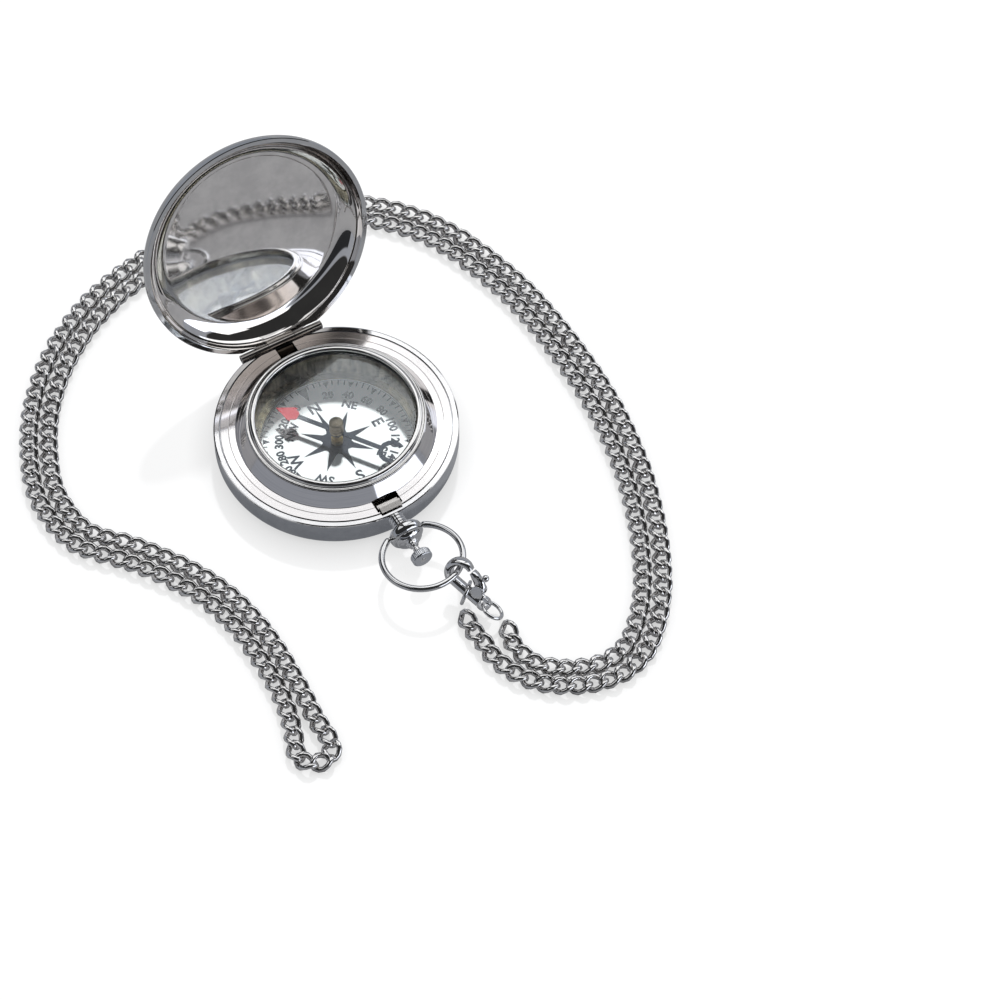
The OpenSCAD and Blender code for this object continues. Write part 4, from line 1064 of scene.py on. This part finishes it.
def make_floor():
    """Pale floor. What the camera sees of it is lifted to white, and metal sees it duller. Close to what lies on it, a
    painted contact shadow darkens it."""
    f = Finish("floor_white")
    wide = f.noise(f.at(), 0.01, 2)
    node = f.add("LightPath").socket.node
    seen, through = Value(f, node.outputs["Is Camera Ray"]), Value(f, node.outputs["Is Transmission Ray"])
    mirrored = Value(f, node.outputs["Is Glossy Ray"])
    twice = Value(f, node.outputs["Glossy Depth"]) > 1.5
    # Painted contact shadow: ambient occlusion dims the floor's glow close to what lies on it.
    open_sky = f.add("AmbientOcclusion", {"samples": 8}, {"Distance": FLOOR_NEAR}, "AO")
    glow = seen.math("MAXIMUM", through) * FLOOR_SEEN + mirrored * FLOOR_MIRRORED + twice * FLOOR_TWICE
    f.surface({
        "Base Color": f.mix(wide, (0.1, 0.1, 0.1), (0.095, 0.095, 0.098)), "Roughness": 0.8,
        "Specular IOR Level": 0.2, "Emission Color": f.mix(mirrored, (1.0, 1.0, 1.0), (0.94, 0.97, 1.03)),
        "Emission Strength": glow * (open_sky * 0.4 + 0.6)})
    bm = bmesh.new()
    bmesh.ops.create_grid(bm, x_segments=1, y_segments=1, size=3)
    mesh = bpy.data.meshes.new("floor")
    bm.to_mesh(mesh)
    bm.free()
    mesh.materials.append(f.material)
    add_object("floor", mesh)


def lamp(name, spot, size, power):
    """A square lamp at a spot, aimed at the origin, that metal doesn't mirror."""
    data = bpy.data.lights.new(name, "AREA")
    data.shape, data.size, data.size_y, data.energy = "RECTANGLE", size, size, power
    light = add_object(name, data)
    light.matrix_world = Matrix.Translation(spot) @ Vector(spot).to_track_quat("Z", "Y").to_matrix().to_4x4()
    light.visible_glossy = False


class Studio(Finish):
    """The surroundings, by the direction in which they are seen."""

    def __init__(self):
        super().__init__("studio", bpy.data.worlds)
        self.way = self.add("TexCoord", output=0)
        x, y, z = self.parts(self.way)
        self.bearing = x.math("ARCTAN2", 0 - y) * (360 / TAU)
        self.height = z.math("ARCSINE") * (360 / TAU)

    def panel(self, left, right, low, high, edge=1.0):
        """1 inside a panel, with a soft edge."""
        inside = self.bearing.step(left - edge, left + edge) * self.bearing.step(right - edge, right + edge, 1.0, 0.0)
        return inside * self.height.step(low - edge, low + edge) * self.height.step(high - edge, high + edge, 1.0, 0.0)

    def along(self, aim):
        """How far a direction goes along an aim."""
        return self.add("VectorMath", {"operation": "DOT_PRODUCT"}, {0: self.way, 1: tuple(aim)}, 1)

    def window(self):
        """The bright window behind the lid that the crystal mirrors."""
        mirror = Matrix.Diagonal((1, 1, -1))
        ahead = self.along(mirror @ -back)
        pixels = PHOTO_SIZE * CAMERA_FOCAL
        column = self.along(mirror @ right) / ahead * pixels + PHOTO_SIZE / 2
        row = PHOTO_SIZE / 2 - self.along(mirror @ back.cross(right)) / ahead * pixels

        def below(a, b):
            """1 under the line through two pixels, a left of b."""
            slope = (b[1] - a[1]) / (b[0] - a[0])
            return (row - a[1] - (column - a[0]) * slope).step(-WINDOW_EDGE, WINDOW_EDGE)
        whole = below(WINDOW_LEFT, WINDOW_TOP_LEFT) * below(WINDOW_TOP_LEFT, WINDOW_TOP_RIGHT) \
            * below(WINDOW_TOP_RIGHT, WINDOW_RIGHT)
        under = below(WINDOW_FOOT_LEFT, WINDOW_FOOT_MIDDLE) * below(WINDOW_FOOT_MIDDLE, WINDOW_FOOT_RIGHT)
        return whole * (1 - under) * ahead.step(0.9, 0.95)


def make_world():
    """Metal sees a dark studio with crisp white panels. Everything else gets an even, soft light."""
    f = Studio()
    above = f.height.step(18, 20)
    mirrored = 0.4 - above * 0.365 - f.panel(*DARK_FRONT) * 0.37 + f.panel(*CRYSTAL_SKY) * (1.4 + f.window() * 3.4)
    for place, strength in PANELS:
        mirrored = mirrored + f.panel(*place) * strength
    tint = f.mix(above, (0.88, 0.94, 1.06), (0.965, 0.98, 1.0))
    studio = f.add("Background", None, {"Color": tint, "Strength": mirrored})
    soft = f.add("Background", None, {"Color": (0.86, 0.93, 1.1), "Strength": 0.12})
    seen = f.add("LightPath").socket.node.outputs
    lit = f.add("MixShader", None, {0: Value(f, seen["Is Glossy Ray"]), 1: soft, 2: studio})
    plain = f.add("Background", None, {"Color": (1, 1, 1), "Strength": 1.0})
    shown = Value(f, seen["Is Camera Ray"]).math("MAXIMUM", Value(f, seen["Is Transmission Ray"]))
    mixed = f.add("MixShader", None, {0: shown, 1: lit, 2: plain})
    f.add("OutputWorld", None, {"Surface": mixed})
    bpy.context.scene.world = f.material


make_floor()
lamp("key_softbox", (0.65, 0.974, 1.623), 0.12, 60)
make_world()
